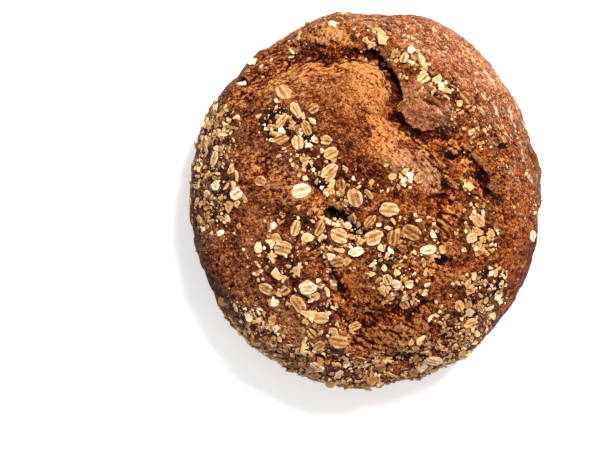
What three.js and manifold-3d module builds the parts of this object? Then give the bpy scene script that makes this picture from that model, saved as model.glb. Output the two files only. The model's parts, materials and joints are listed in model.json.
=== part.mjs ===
// A round hearth loaf of sourdough with rolled oat flakes pressed into its crust.
//
// Millimetres. X and Y lie along the table and Z is up. The origin is the middle of the flat base.
// The loaf is one baked solid. Each whole oat flake is a piece of its own, seated in a shallow
// pocket that keeps a small gap all round it.
import * as THREE from "three";
import { mergeVertices } from "three/addons/utils/BufferGeometryUtils.js";
import Module from "manifold-3d";

// Driving dimensions of the loaf.
const LOAF_WIDTH = 190; // overall, along X
const LOAF_LENGTH = 203; // overall, along Y
const LOAF_HEIGHT = 75; // base to crown
const BELLY_HEIGHT = 27; // where the side stands out furthest
const FOOT_TUCK = 17; // how far the edge of the flat base lies inside the belly
const DOME_FULLNESS = 2.3; // 2 makes the dome an ellipse, more makes its shoulders squarer
const SIDE_FULLNESS = 2.1; // the same for the side below the belly
const CRUST_FADE = 18; // over this height above the belly the marks in the crust come in

// Driving dimensions of the oat flakes.
const FLAKE_SIZES = {
  big: { length: 10.8, width: 7.6 },
  middle: { length: 8.6, width: 6.2 },
  narrow: { length: 9.2, width: 4.8 },
  small: { length: 6.6, width: 5.2 },
};
const FLAKE_THICKNESS = 1.2;
const FLAKE_STANDS_PROUD = 0.75; // how much of the thickness is above the crust
const FLAKE_TAPER = 0.14; // how much one end is slimmer than the middle
const POCKET_CLEARANCE = 0.3; // between a flake and its pocket
const FLAKE_SPACING = 1.6; // the least crust left between two flakes, pockets included
const POCKET_REACH = 4; // how far a pocket's cutter stands above the flake
const POCKET_FLARE = 0.4; // how much wider the cutter is at its top

// How finely each surface is divided.
const LOAF_SEGMENTS = 88;
const DOME_RINGS = 27;
const SIDE_RINGS = 5;
const FLAKE_SEGMENTS = 10;

// Places on the crust are shares of the half width and the half length, from the crown's centre.
// Ways round the loaf are degrees from +X towards +Y.

// Where the outline stands out past a plain oval, in millimetres over a spread of degrees.
const OUTLINE_BULGES = [
  { bearing: 62, out: 3.6, spread: 19 },
  { bearing: 154, out: 1.6, spread: 13 },
  { bearing: 228, out: 1.2, spread: 16 },
  { bearing: 283, out: -0.8, spread: 12 },
];

// What the oven did to the crust: each mark follows a path, and rises or sinks across its reach.
const CRUST_MARKS = [
  {
    // The long burst that runs under the lip of torn crust.
    rise: -6.5,
    reach: 6,
    path: [
      [-0.56, 0.7], [-0.33, 0.78], [-0.15, 0.78], [0.07, 0.76], [0.15, 0.65],
      [0.16, 0.54], [0.14, 0.45], [0.22, 0.37], [0.3, 0.335], [0.44, 0.35],
    ],
  },
  {
    // The lip itself, on the outer side of the burst.
    rise: 2.6,
    reach: 6,
    path: [
      [-0.33, 0.88], [-0.1, 0.88], [0.13, 0.85], [0.26, 0.7],
      [0.28, 0.55], [0.28, 0.5], [0.37, 0.46], [0.47, 0.45],
    ],
  },
  { rise: 3.6, reach: 15, path: [[-0.42, 0.52], [-0.1, 0.48], [0.02, 0.32]] }, // dough swollen by the burst
  { rise: -4, reach: 6, path: [[0.43, 0.24], [0.58, 0.2], [0.64, 0.11], [0.68, 0]] }, // short burst, right
  { rise: 1.6, reach: 6, path: [[0.54, 0.34], [0.7, 0.25], [0.78, 0.1]] }, // its lip
  { rise: -3, reach: 5, path: [[0.19, 0.3], [0.38, 0.1], [0.41, -0.15]] }, // torn band
  { rise: -8, reach: 5, path: [[-0.21, -0.06], [-0.1, -0.13]] }, // the deep hollow near the crown
  { rise: -3.5, reach: 5, path: [[-0.26, -0.24], [-0.18, -0.42], [-0.14, -0.54]] }, // furrow below it
  { rise: -5, reach: 5, path: [[-0.06, -0.66], [0.1, -0.6], [0.3, -0.53]] }, // tear towards the front
  { rise: -5, reach: 5, path: [[0.04, -0.86], [0.2, -0.84]] }, // pit near the front rim
  { rise: -3, reach: 5, path: [[-0.64, 0.62], [-0.7, 0.66]] }, // slit in the rim
  { rise: -3, reach: 5, path: [[-0.76, -0.2], [-0.74, -0.4], [-0.64, -0.5]] }, // pores, left side
  { rise: 2.4, reach: 5, path: [[-0.77, 0.03], [-0.5, 0.04], [-0.32, 0]] }, // fold on the left
];

// The slow unevenness of a hand-shaped loaf: waves in plan with a length and a direction.
const CRUST_WAVES = [
  { rise: 0.9, length: 61, bearing: 20 },
  { rise: 0.8, length: 43, bearing: 95 },
  { rise: 0.6, length: 29, bearing: 150 },
  { rise: 0.5, length: 19, bearing: 62 },
];

// Whole flakes by the part of the crust they lie on: size, place, and the way the flake points.
const FLAKE_ZONES = {
  upperLeftBand: [
    ["big", -0.46, 0.54, -50], ["narrow", -0.39, 0.44, -60], ["small", -0.3, 0.46, 35],
    ["narrow", -0.47, 0.39, 50], ["narrow", -0.35, 0.38, -65], ["middle", -0.47, 0.32, 30],
    ["middle", -0.39, 0.29, -80], ["small", -0.23, 0.29, 0], ["middle", -0.21, 0.23, 30],
    ["big", -0.21, 0.14, 50], ["small", -0.59, 0.09, -15], ["big", -0.37, 0.04, 20],
  ],
  leftEdge: [
    ["narrow", -0.85, 0.21, 75], ["small", -0.84, 0.07, -60], ["middle", -0.72, 0.03, 40],
  ],
  crown: [
    ["small", -0.15, 0.07, -80], ["big", -0.08, 0.01, -70], ["big", 0.1, -0.06, 0],
    ["narrow", 0.02, -0.12, 55], ["big", 0.03, -0.18, 25], ["middle", 0.12, -0.2, 88],
    ["big", 0.23, -0.17, -25], ["narrow", 0.32, -0.26, 8], ["big", -0.16, -0.19, -20],
    ["narrow", -0.27, -0.15, 65], ["narrow", -0.4, -0.15, 75], ["big", -0.47, -0.25, -8],
    ["narrow", -0.07, -0.27, 15], ["middle", -0.17, -0.32, 20],
  ],
  lowerLeft: [
    ["middle", -0.56, -0.46, -20], ["big", -0.33, -0.45, 18], ["small", -0.45, -0.47, 40],
    ["big", -0.39, -0.53, -50], ["middle", -0.26, -0.61, 5], ["narrow", -0.07, -0.65, 20],
    ["big", -0.17, -0.73, -5], ["small", -0.31, -0.69, -45], ["small", -0.26, -0.75, 40],
    ["narrow", -0.05, -0.83, -15], ["middle", -0.28, -0.87, -30],
  ],
  lowerRight: [
    ["small", 0.2, -0.54, -45], ["small", 0.1, -0.41, -60], ["narrow", 0.57, -0.64, 20],
    ["small", 0.5, -0.55, -65], ["big", 0.37, -0.84, -10],
  ],
  right: [
    ["middle", 0.6, -0.11, -40], ["small", 0.56, -0.2, 25], ["small", 0.92, -0.19, 75],
  ],
  upperRight: [
    ["small", 0.2, 0.73, 70], ["middle", 0.3, 0.62, 45], ["middle", 0.54, 0.52, -45],
    ["narrow", 0.19, 0.48, 45],
  ],
};

const crustMaterial = new THREE.MeshStandardMaterial({
  color: 0x7d4522,
  roughness: 0.72,
  metalness: 0,
});
const flakeMaterial = new THREE.MeshStandardMaterial({
  color: 0xd9b784,
  roughness: 0.85,
  metalness: 0,
});

const wasm = await Module();
wasm.setup();

// The closed geometry as a solid that can be cut.
function solidOf(geometry) {
  const bare = geometry.clone();
  bare.deleteAttribute("normal");
  bare.deleteAttribute("uv");
  const merged = mergeVertices(bare, 1e-3);
  return new wasm.Manifold(
    new wasm.Mesh({
      numProp: 3,
      vertProperties: merged.attributes.position.array,
      triVerts: new Uint32Array(merged.index.array),
    }),
  );
}

// A cut solid as a geometry again.
function geometryOf(solid) {
  const { vertProperties, triVerts } = solid.getMesh();
  const geometry = new THREE.BufferGeometry();
  geometry.setAttribute("position", new THREE.BufferAttribute(vertProperties, 3));
  geometry.setIndex(new THREE.BufferAttribute(triVerts, 1));
  geometry.computeVertexNormals();
  return geometry;
}

// A place on the crust, given in shares, as a point in plan.
function planPoint([across, along]) {
  return new THREE.Vector2((across * LOAF_WIDTH) / 2, (along * LOAF_LENGTH) / 2);
}

// One step of a superellipse: how far out and how far up at a share of its quarter turn.
function quarterStep(share, fullness) {
  const turn = (share * Math.PI) / 2;
  return {
    out: Math.cos(turn) ** (2 / fullness),
    up: Math.sin(turn) ** (2 / fullness),
  };
}

// The loaf's half profile from the middle of the base, round the belly, to the crown.
function loafProfile() {
  const belly = LOAF_WIDTH / 2;
  const foot = belly - FOOT_TUCK;
  const profile = [new THREE.Vector2(0, 0)];
  for (let ring = 0; ring < SIDE_RINGS; ring++) {
    const { out, up } = quarterStep(1 - ring / SIDE_RINGS, SIDE_FULLNESS);
    profile.push(new THREE.Vector2(foot + FOOT_TUCK * out, BELLY_HEIGHT * (1 - up)));
  }
  for (let ring = 0; ring < DOME_RINGS; ring++) {
    const { out, up } = quarterStep(ring / DOME_RINGS, DOME_FULLNESS);
    const rise = LOAF_HEIGHT - BELLY_HEIGHT;
    profile.push(new THREE.Vector2(belly * out, BELLY_HEIGHT + rise * up));
  }
  profile.push(new THREE.Vector2(0, LOAF_HEIGHT));
  return profile;
}

// How far the outline stands out past the plain oval in one direction.
function outlineBulge(bearing) {
  return OUTLINE_BULGES.reduce((sum, bulge) => {
    const away = THREE.MathUtils.euclideanModulo(bearing - bulge.bearing + 180, 360) - 180;
    return sum + bulge.out * Math.exp(-((away / bulge.spread) ** 2));
  }, 0);
}

// The distance in plan from a point to a line of straight stretches.
function distanceToPath(point, path) {
  const closest = new THREE.Vector3();
  const at = new THREE.Vector3(point.x, point.y, 0);
  let least = Infinity;
  for (let i = 1; i < path.length; i++) {
    const stretch = new THREE.Line3(
      new THREE.Vector3(path[i - 1].x, path[i - 1].y, 0),
      new THREE.Vector3(path[i].x, path[i].y, 0),
    );
    stretch.closestPointToPoint(at, true, closest);
    least = Math.min(least, closest.distanceTo(at));
  }
  return least;
}

const crustMarks = CRUST_MARKS.map((mark) => ({ ...mark, path: mark.path.map(planPoint) }));

// How far the crust stands above or below the smooth dome at a point in plan.
function crustRelief(point) {
  let rise = 0;
  for (const mark of crustMarks) {
    const away = distanceToPath(point, mark.path) / mark.reach;
    rise += mark.rise * Math.exp(-(away ** 2));
  }
  for (const wave of CRUST_WAVES) {
    const bearing = THREE.MathUtils.degToRad(wave.bearing);
    const along = point.x * Math.cos(bearing) + point.y * Math.sin(bearing);
    rise += wave.rise * Math.sin((2 * Math.PI * along) / wave.length);
  }
  return rise;
}

// Stretches the round lathe form to the loaf's oval outline.
function shapeOutline(position) {
  for (let i = 0; i < position.count; i++) {
    const x = position.getX(i);
    const y = (position.getY(i) * LOAF_LENGTH) / LOAF_WIDTH;
    const bearing = THREE.MathUtils.radToDeg(Math.atan2(y, x));
    const outward = 1 + outlineBulge(bearing) / (LOAF_WIDTH / 2);
    position.setXY(i, x * outward, y * outward);
  }
}

// Raises and sinks the crust above the belly, along the dome's own normals.
function shapeCrust(position, normal) {
  for (let i = 0; i < position.count; i++) {
    const point = new THREE.Vector3().fromBufferAttribute(position, i);
    const outward = new THREE.Vector3().fromBufferAttribute(normal, i);
    const onTop = THREE.MathUtils.smoothstep(point.z, BELLY_HEIGHT, BELLY_HEIGHT + CRUST_FADE);
    point.addScaledVector(outward, onTop * crustRelief(point));
    position.setXYZ(i, point.x, point.y, point.z);
  }
}

// Brings the shaped form back to the driving sizes, standing on z = 0 about the origin.
function fitToSize(geometry) {
  geometry.computeBoundingBox();
  const size = geometry.boundingBox.getSize(new THREE.Vector3());
  const middle = geometry.boundingBox.getCenter(new THREE.Vector3());
  geometry.translate(-middle.x, -middle.y, -geometry.boundingBox.min.z);
  geometry.scale(LOAF_WIDTH / size.x, LOAF_LENGTH / size.y, LOAF_HEIGHT / size.z);
}

// The whole loaf as one closed form, before the flakes are pressed in.
function makeLoafGeometry() {
  const turned = new THREE.LatheGeometry(loafProfile(), LOAF_SEGMENTS);
  turned.rotateX(Math.PI / 2);
  turned.deleteAttribute("normal");
  turned.deleteAttribute("uv");
  const geometry = mergeVertices(turned, 1e-3);
  shapeOutline(geometry.attributes.position);
  geometry.computeVertexNormals();
  shapeCrust(geometry.attributes.position, geometry.attributes.normal);
  fitToSize(geometry);
  return geometry;
}

// The flakes of every zone, with their place, size and direction.
function listFlakes() {
  return Object.values(FLAKE_ZONES)
    .flat()
    .map(([size, across, along, degrees]) => ({
      ...FLAKE_SIZES[size],
      point: planPoint([across, along]),
      turn: THREE.MathUtils.degToRad(degrees),
    }));
}

// How far a flake reaches from its middle towards a direction in plan.
function flakeReach(flake, direction) {
  const lengthwise = Math.cos(direction - flake.turn) * (flake.length / 2);
  const crosswise = Math.sin(direction - flake.turn) * (flake.width / 2);
  return Math.hypot(lengthwise, crosswise);
}

// Slides two flakes apart, half the way each, when they lie closer than their spacing.
function partPair(first, second) {
  const between = second.point.clone().sub(first.point);
  const direction = between.angle();
  const wanted = flakeReach(first, direction) + flakeReach(second, direction) + FLAKE_SPACING;
  const short = wanted - between.length();
  if (short <= 0) return;
  between.setLength(short / 2);
  second.point.add(between);
  first.point.sub(between);
}

// Flakes don't lie on each other: neighbours part until each has crust all round it.
function spreadFlakes(flakes) {
  const rounds = 80;
  for (let round = 0; round < rounds; round++)
    flakes.forEach((first, i) => flakes.slice(i + 1).forEach((second) => partPair(first, second)));
  return flakes;
}

// The point of the crust straight below a point in plan.
function crustUnder(loafMesh, point) {
  const from = new THREE.Vector3(point.x, point.y, LOAF_HEIGHT * 2);
  const down = new THREE.Vector3(0, 0, -1);
  return new THREE.Raycaster(from, down).intersectObject(loafMesh)[0].point;
}

// Where a flake lies: flat against the crust that its four ends touch, pointing its own way.
function seatFlake(flake, loafMesh) {
  const ahead = new THREE.Vector2(Math.cos(flake.turn), Math.sin(flake.turn));
  const aside = new THREE.Vector2(-ahead.y, ahead.x);
  const under = (along, across) =>
    crustUnder(
      loafMesh,
      flake.point.clone().addScaledVector(ahead, along).addScaledVector(aside, across),
    );
  const front = under(flake.length * 0.35, 0);
  const back = under(-flake.length * 0.35, 0);
  const left = under(0, flake.width * 0.35);
  const right = under(0, -flake.width * 0.35);
  const lengthwise = front.clone().sub(back).normalize();
  const up = lengthwise.clone().cross(left.clone().sub(right)).normalize();
  const crosswise = up.clone().cross(lengthwise);
  const middle = front.clone().add(back).add(left).add(right).divideScalar(4);
  const lift = FLAKE_THICKNESS * (FLAKE_STANDS_PROUD - 0.5);
  return new THREE.Matrix4()
    .makeBasis(lengthwise, crosswise, up)
    .setPosition(middle.addScaledVector(up, lift));
}

// Turns a half profile of unit radius into an oval of the given size, slimmer at one end.
function makeOval(profile, length, width) {
  const geometry = new THREE.LatheGeometry(profile, FLAKE_SEGMENTS);
  geometry.rotateX(Math.PI / 2);
  const position = geometry.attributes.position;
  for (let i = 0; i < position.count; i++) {
    const lengthwise = position.getX(i);
    const slim = 1 - FLAKE_TAPER * lengthwise;
    position.setX(i, (lengthwise * length) / 2);
    position.setY(i, (position.getY(i) * slim * width) / 2);
  }
  return geometry;
}

// A rolled flake: a thin rim, a crowned face, and a dent where the groat's crease was.
function makeFlakeGeometry({ length, width }) {
  const half = FLAKE_THICKNESS / 2;
  const profile = [
    new THREE.Vector2(0, -half),
    new THREE.Vector2(0.92, -half * 0.6),
    new THREE.Vector2(1, half * 0.25),
    new THREE.Vector2(0.5, half),
    new THREE.Vector2(0, half * 0.3),
  ];
  return makeOval(profile, length, width);
}

// The cutter for a flake's pocket: its underside with the clearance, open upwards.
function makePocketGeometry({ length, width }) {
  const half = FLAKE_THICKNESS / 2;
  const flare = 1 + (2 * POCKET_FLARE) / width;
  const profile = [
    new THREE.Vector2(0, -half - POCKET_CLEARANCE),
    new THREE.Vector2(1, -half * 0.6 - POCKET_CLEARANCE),
    new THREE.Vector2(flare, POCKET_REACH),
    new THREE.Vector2(0, POCKET_REACH),
  ];
  return makeOval(profile, length + 2 * POCKET_CLEARANCE, width + 2 * POCKET_CLEARANCE);
}

// The loaf with every flake's pocket cut into its crust.
function pressFlakesIn(loafGeometry, seated) {
  const cutters = seated.map(({ flake, seat }) => {
    const cutter = makePocketGeometry(flake).applyMatrix4(seat);
    return solidOf(cutter);
  });
  const pockets = wasm.Manifold.union(cutters);
  return geometryOf(solidOf(loafGeometry).subtract(pockets));
}

function makeBread() {
  const bread = new THREE.Group();
  const whole = new THREE.Mesh(makeLoafGeometry(), crustMaterial);
  const seated = spreadFlakes(listFlakes()).map((flake) => ({
    flake,
    seat: seatFlake(flake, whole),
  }));
  const loaf = new THREE.Mesh(pressFlakesIn(whole.geometry, seated), crustMaterial);
  loaf.name = "loaf";
  bread.add(loaf);
  seated.forEach(({ flake, seat }, index) => {
    const mesh = new THREE.Mesh(makeFlakeGeometry(flake), flakeMaterial);
    mesh.name = "oat_flake_" + String(index + 1).padStart(2, "0");
    mesh.applyMatrix4(seat);
    bread.add(mesh);
  });
  return bread;
}

export default makeBread();
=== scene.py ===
"""A round sourdough loaf with oat flakes baked on its crust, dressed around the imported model.

Everything is in metres in the part's own frame: X right, Y towards the far rim, Z up, with the
origin in the middle of the flat base. Places on the crust are written as shares of the loaf's half
width and half length, so that they follow the loaf's own box.
"""

from __future__ import annotations

import json
import logging
import math
from dataclasses import dataclass, field
from enum import Enum

import bmesh
import bpy
import numpy as np
from mathutils import Matrix, Vector
from mathutils.bvhtree import BVHTree

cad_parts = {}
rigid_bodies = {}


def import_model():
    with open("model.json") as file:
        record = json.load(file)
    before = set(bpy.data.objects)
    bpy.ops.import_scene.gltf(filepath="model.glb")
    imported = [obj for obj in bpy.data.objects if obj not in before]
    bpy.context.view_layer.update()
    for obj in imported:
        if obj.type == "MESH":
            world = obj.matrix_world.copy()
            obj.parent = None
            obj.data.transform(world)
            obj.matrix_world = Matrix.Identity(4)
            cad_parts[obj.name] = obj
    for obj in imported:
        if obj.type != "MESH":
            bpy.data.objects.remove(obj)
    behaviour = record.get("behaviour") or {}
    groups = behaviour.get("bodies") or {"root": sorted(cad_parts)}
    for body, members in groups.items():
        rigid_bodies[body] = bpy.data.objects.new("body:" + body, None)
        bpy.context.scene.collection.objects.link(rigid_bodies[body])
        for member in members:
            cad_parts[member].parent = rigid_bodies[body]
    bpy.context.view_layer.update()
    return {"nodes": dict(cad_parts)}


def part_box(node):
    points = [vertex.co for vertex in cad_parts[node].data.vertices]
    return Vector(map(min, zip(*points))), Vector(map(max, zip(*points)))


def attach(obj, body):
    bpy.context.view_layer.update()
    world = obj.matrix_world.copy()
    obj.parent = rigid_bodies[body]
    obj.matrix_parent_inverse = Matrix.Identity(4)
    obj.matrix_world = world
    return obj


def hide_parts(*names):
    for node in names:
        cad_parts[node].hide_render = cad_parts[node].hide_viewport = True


LOG = logging.getLogger("sourdough")
MM = 0.001
ROOT_BODY = "root"
LOAF_NODE = "loaf"
FLAKE_PREFIX = "oat_flake_"
Share = tuple[float, float]


class Slot(Enum):
    """The record's material slots."""

    CRUST = "crust"
    OAT = "oat_flake"


class Mask(Enum):
    """Named layers that the crust mesh carries for its finish and its topping."""

    TORN = "torn"
    GLOW = "glow"
    MAUVE = "mauve"
    CHAR = "char"
    CAVITY = "cavity"
    FLOUR = "flour"
    LINES = "lines"
    CALM = "calm"
    SLANT = "slant"
    OATS = "oats"
    CRUMBS = "crumbs"
    DUST = "dust"


# ---------------------------------------------------------------------------------------------
# Noise
# ---------------------------------------------------------------------------------------------


@dataclass(frozen=True)
class Noise:
    """Seeded noise in space, the same on every run.

    Args:
        seed: picks one field out of many.
    """

    seed: int

    def _hash(self, cell: np.ndarray, salt: int) -> np.ndarray:
        """One number from 0 to 1 for each cell.

        Args:
            cell: whole-number cell positions, one row each.
            salt: separates draws for the same cell.

        Returns:
            One draw per row.
        """
        c = cell.astype(np.int64).astype(np.uint64)
        n = c[:, 0] * np.uint64(0x9E3779B1) ^ c[:, 1] * np.uint64(0x85EBCA77)
        n ^= c[:, 2] * np.uint64(0xC2B2AE3D) ^ np.uint64(self.seed * 7919 + salt * 104729 + 1)
        n = (n ^ (n >> np.uint64(15))) * np.uint64(0x2C1B3C6D)
        n = (n ^ (n >> np.uint64(12))) * np.uint64(0x297A2D39)
        n = n ^ (n >> np.uint64(15))
        return (n & np.uint64(0xFFFFFF)).astype(float) / 0x1000000

    def smooth(self, points: np.ndarray, scale: float) -> np.ndarray:
        """Gradient noise.

        Args:
            points: positions in metres, one row each.
            scale: size of a feature in metres.

        Returns:
            Values from about -1 to 1.
        """
        at = points / scale
        low = np.floor(at)
        part = at - low
        ease = part * part * part * (part * (part * 6 - 15) + 10)
        total = np.zeros(len(points))
        for corner in np.ndindex(2, 2, 2):
            step = np.array(corner, float)
            cell = low + step
            slope = np.stack([self._hash(cell, axis) * 2 - 1 for axis in range(3)], 1)
            weight = np.prod(np.where(step > 0, ease, 1 - ease), axis=1)
            total += weight * np.sum(slope * (part - step), axis=1)
        return total * 1.6

    def fractal(self, points: np.ndarray, scale: float, octaves: int = 4) -> np.ndarray:
        """Several octaves of noise on each other.

        Args:
            points: positions in metres.
            scale: size of the largest feature in metres.
            octaves: how many layers, each half the size and half the height.

        Returns:
            Values from about -1 to 1.
        """
        total = np.zeros(len(points))
        for octave in range(octaves):
            layer = Noise(self.seed + octave * 31)
            total += layer.smooth(points, scale / 2**octave) / 2**octave
        return total

    def ridged(self, points: np.ndarray, scale: float, octaves: int = 4) -> np.ndarray:
        """Noise whose creases are sharp.

        Args:
            points: positions in metres.
            scale: size of the largest feature in metres.
            octaves: how many layers.

        Returns:
            Values from 0 on flat ground to 1 along a crease.
        """
        total = np.zeros(len(points))
        for octave in range(octaves):
            layer = Noise(self.seed + octave * 57)
            crease = 1 - np.abs(layer.smooth(points, scale / 2**octave)) * 1.8
            total += np.clip(crease, 0, 1) ** 2 / 2**octave
        return total / 1.9

    def cells(self, points: np.ndarray, scale: float) -> tuple[np.ndarray, np.ndarray]:
        """Distance to the nearest scattered point.

        Args:
            points: positions in metres.
            scale: mean distance between scattered points in metres.

        Returns:
            The distance in shares of the scale, and one draw for the nearest point.
        """
        at = points / scale
        low = np.floor(at)
        nearest = np.full(len(points), 9.0)
        draw = np.zeros(len(points))
        for step in np.ndindex(3, 3, 3):
            cell = low + np.array(step, float) - 1
            spot = cell + np.stack([self._hash(cell, 11 + axis) for axis in range(3)], 1)
            away = np.linalg.norm(at - spot, axis=1)
            closer = away < nearest
            nearest[closer] = away[closer]
            draw[closer] = self._hash(cell[closer], 17)
        return nearest, draw


def smoothstep(low: float, high: float, value: np.ndarray) -> np.ndarray:
    """Eases from 0 at low to 1 at high.

    Args:
        low: where the result leaves 0.
        high: where the result reaches 1.
        value: what is eased.

    Returns:
        The eased values.
    """
    share = np.clip((value - low) / (high - low), 0, 1)
    return share * share * (3 - 2 * share)


# ---------------------------------------------------------------------------------------------
# Places on the crust
# ---------------------------------------------------------------------------------------------


def along(points: np.ndarray, angle: float, share: float) -> np.ndarray:
    """Points squeezed along one way over the ground, so that a pattern laid on them is drawn out.

    Args:
        points: the points.
        angle: the way, in radians from the width's axis.
        share: how far they are squeezed.

    Returns:
        The squeezed points.
    """
    cosine, sine = math.cos(angle), math.sin(angle)
    x = (points[:, 0] * cosine + points[:, 1] * sine) * share
    y = points[:, 1] * cosine - points[:, 0] * sine
    return np.stack([x, y, points[:, 2]], 1)


@dataclass(frozen=True)
class LoafBox:
    """The loaf's own size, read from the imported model.

    Args:
        width: along X.
        length: along Y.
        height: along Z.
    """

    width: float
    length: float
    height: float

    @classmethod
    def read(cls) -> "LoafBox":
        """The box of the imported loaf."""
        low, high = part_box(LOAF_NODE)
        return cls(high.x - low.x, high.y - low.y, high.z - low.z)

    def plan(self, shares: list[Share]) -> np.ndarray:
        """Shares of the half sizes as points in plan.

        Args:
            shares: places from the middle of the loaf.

        Returns:
            One row of X and Y in metres for each.
        """
        return np.array(shares, float) * np.array([self.width, self.length]) / 2


@dataclass(frozen=True)
class Trail:
    """A smooth line across the crust, seen from above.

    Args:
        shares: the places that it passes through.
    """

    shares: tuple[Share, ...]

    def curve(self, box: LoafBox, steps: int = 10) -> np.ndarray:
        """The line as closely spaced points.

        Args:
            box: the loaf's size.
            steps: points between two places.

        Returns:
            Points in plan, in metres.
        """
        knots = box.plan(list(self.shares))
        if len(knots) < 3:
            return np.linspace(knots[0], knots[-1], steps + 1)
        ends = np.vstack([2 * knots[0] - knots[1], knots, 2 * knots[-1] - knots[-2]])
        out = []
        for i in range(1, len(ends) - 2):
            a, b, c, d = ends[i - 1 : i + 3]
            for t in np.linspace(0, 1, steps, endpoint=False):
                line = 2 * b + (c - a) * t + (2 * a - 5 * b + 4 * c - d) * t**2
                out.append(0.5 * (line + (3 * b - a - 3 * c + d) * t**3))
        return np.vstack([*out, knots[-1]])

    def measure(self, box: LoafBox, at: np.ndarray) -> tuple[np.ndarray, np.ndarray, np.ndarray]:
        """Where points in plan lie against the line.

        Args:
            box: the loaf's size.
            at: points in plan, in metres.

        Returns:
            The distance, signed so that it is positive on the left of the line's way, the share of
            the line's length at the nearest place, and the unit way across the line to the left.
        """
        curve = self.curve(box)
        start, step = curve[:-1], np.diff(curve, axis=0)
        size = np.linalg.norm(step, axis=1)
        run = np.concatenate([[0], np.cumsum(size)])
        best = np.full(len(at), 9.0)
        share = np.zeros(len(at))
        side = np.zeros((len(at), 2))
        for i, (origin, way) in enumerate(zip(start, step)):
            along = np.clip((at - origin) @ way / size[i] ** 2, 0, 1)
            gap = at - origin - along[:, None] * way
            away = np.linalg.norm(gap, axis=1)
            closer = away < np.abs(best)
            left = np.array([-way[1], way[0]]) / size[i]
            sign = np.where(gap @ left >= 0, 1.0, -1.0)
            best[closer] = (away * sign)[closer]
            share[closer] = ((run[i] + along * size[i]) / run[-1])[closer]
            side[closer] = left
        return best, share, side


@dataclass(frozen=True)
class Patch:
    """A soft-edged patch of crust around a line.

    Args:
        trail: the line in its middle.
        reach: how far it reaches to each side, in metres.
        soft: over how much its edge fades, in metres.
        strength: its value in the middle.
    """

    trail: Trail
    reach: float
    soft: float
    strength: float = 1.0

    def value(self, box: LoafBox, at: np.ndarray, ragged: np.ndarray) -> np.ndarray:
        """How strongly the patch covers each point.

        Args:
            box: the loaf's size.
            at: points in plan.
            ragged: how far the patch's edge is pushed in or out at each point.

        Returns:
            Values from 0 to the patch's strength.
        """
        away = np.abs(self.trail.measure(box, at)[0]) + ragged
        return self.strength * (1 - smoothstep(self.reach - self.soft, self.reach + self.soft, away))


def patch(reach: float, soft: float, *shares: Share, strength: float = 1.0) -> Patch:
    """A patch with its sizes in millimetres.

    Args:
        reach: how far it reaches to each side.
        soft: over how much its edge fades.
        shares: the places that its middle line passes through.
        strength: its value in the middle.

    Returns:
        The patch.
    """
    return Patch(Trail(shares), reach * MM, soft * MM, strength)


@dataclass(frozen=True)
class Burst:
    """A fissure where the crust tore and one side lifted as a lip.

    Args:
        trail: its line. The lip is on the left of the line's way.
        depth: how deep its floor lies.
        lip: how far the lip stands up.
        inner: how wide its floor rises again on the side away from the lip.
        fade: how wide the lip falls back to the crust.
        overhang: how far the lip leans over the floor.
        swell: how fully it opens at even steps along its line.
    """

    trail: Trail
    depth: float
    lip: float
    inner: float
    fade: float
    overhang: float
    swell: tuple[float, ...]


def burst(sizes: tuple[float, ...], swell: tuple[float, ...], *shares: Share) -> Burst:
    """A burst with its sizes in millimetres.

    Args:
        sizes: its depth, lip, inner width, fade and overhang.
        swell: how fully it opens at even steps along its line.
        shares: the places that its line passes through.

    Returns:
        The burst.
    """
    return Burst(Trail(shares), *(size * MM for size in sizes), swell)


# ---------------------------------------------------------------------------------------------
# The crust's form
# ---------------------------------------------------------------------------------------------


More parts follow.
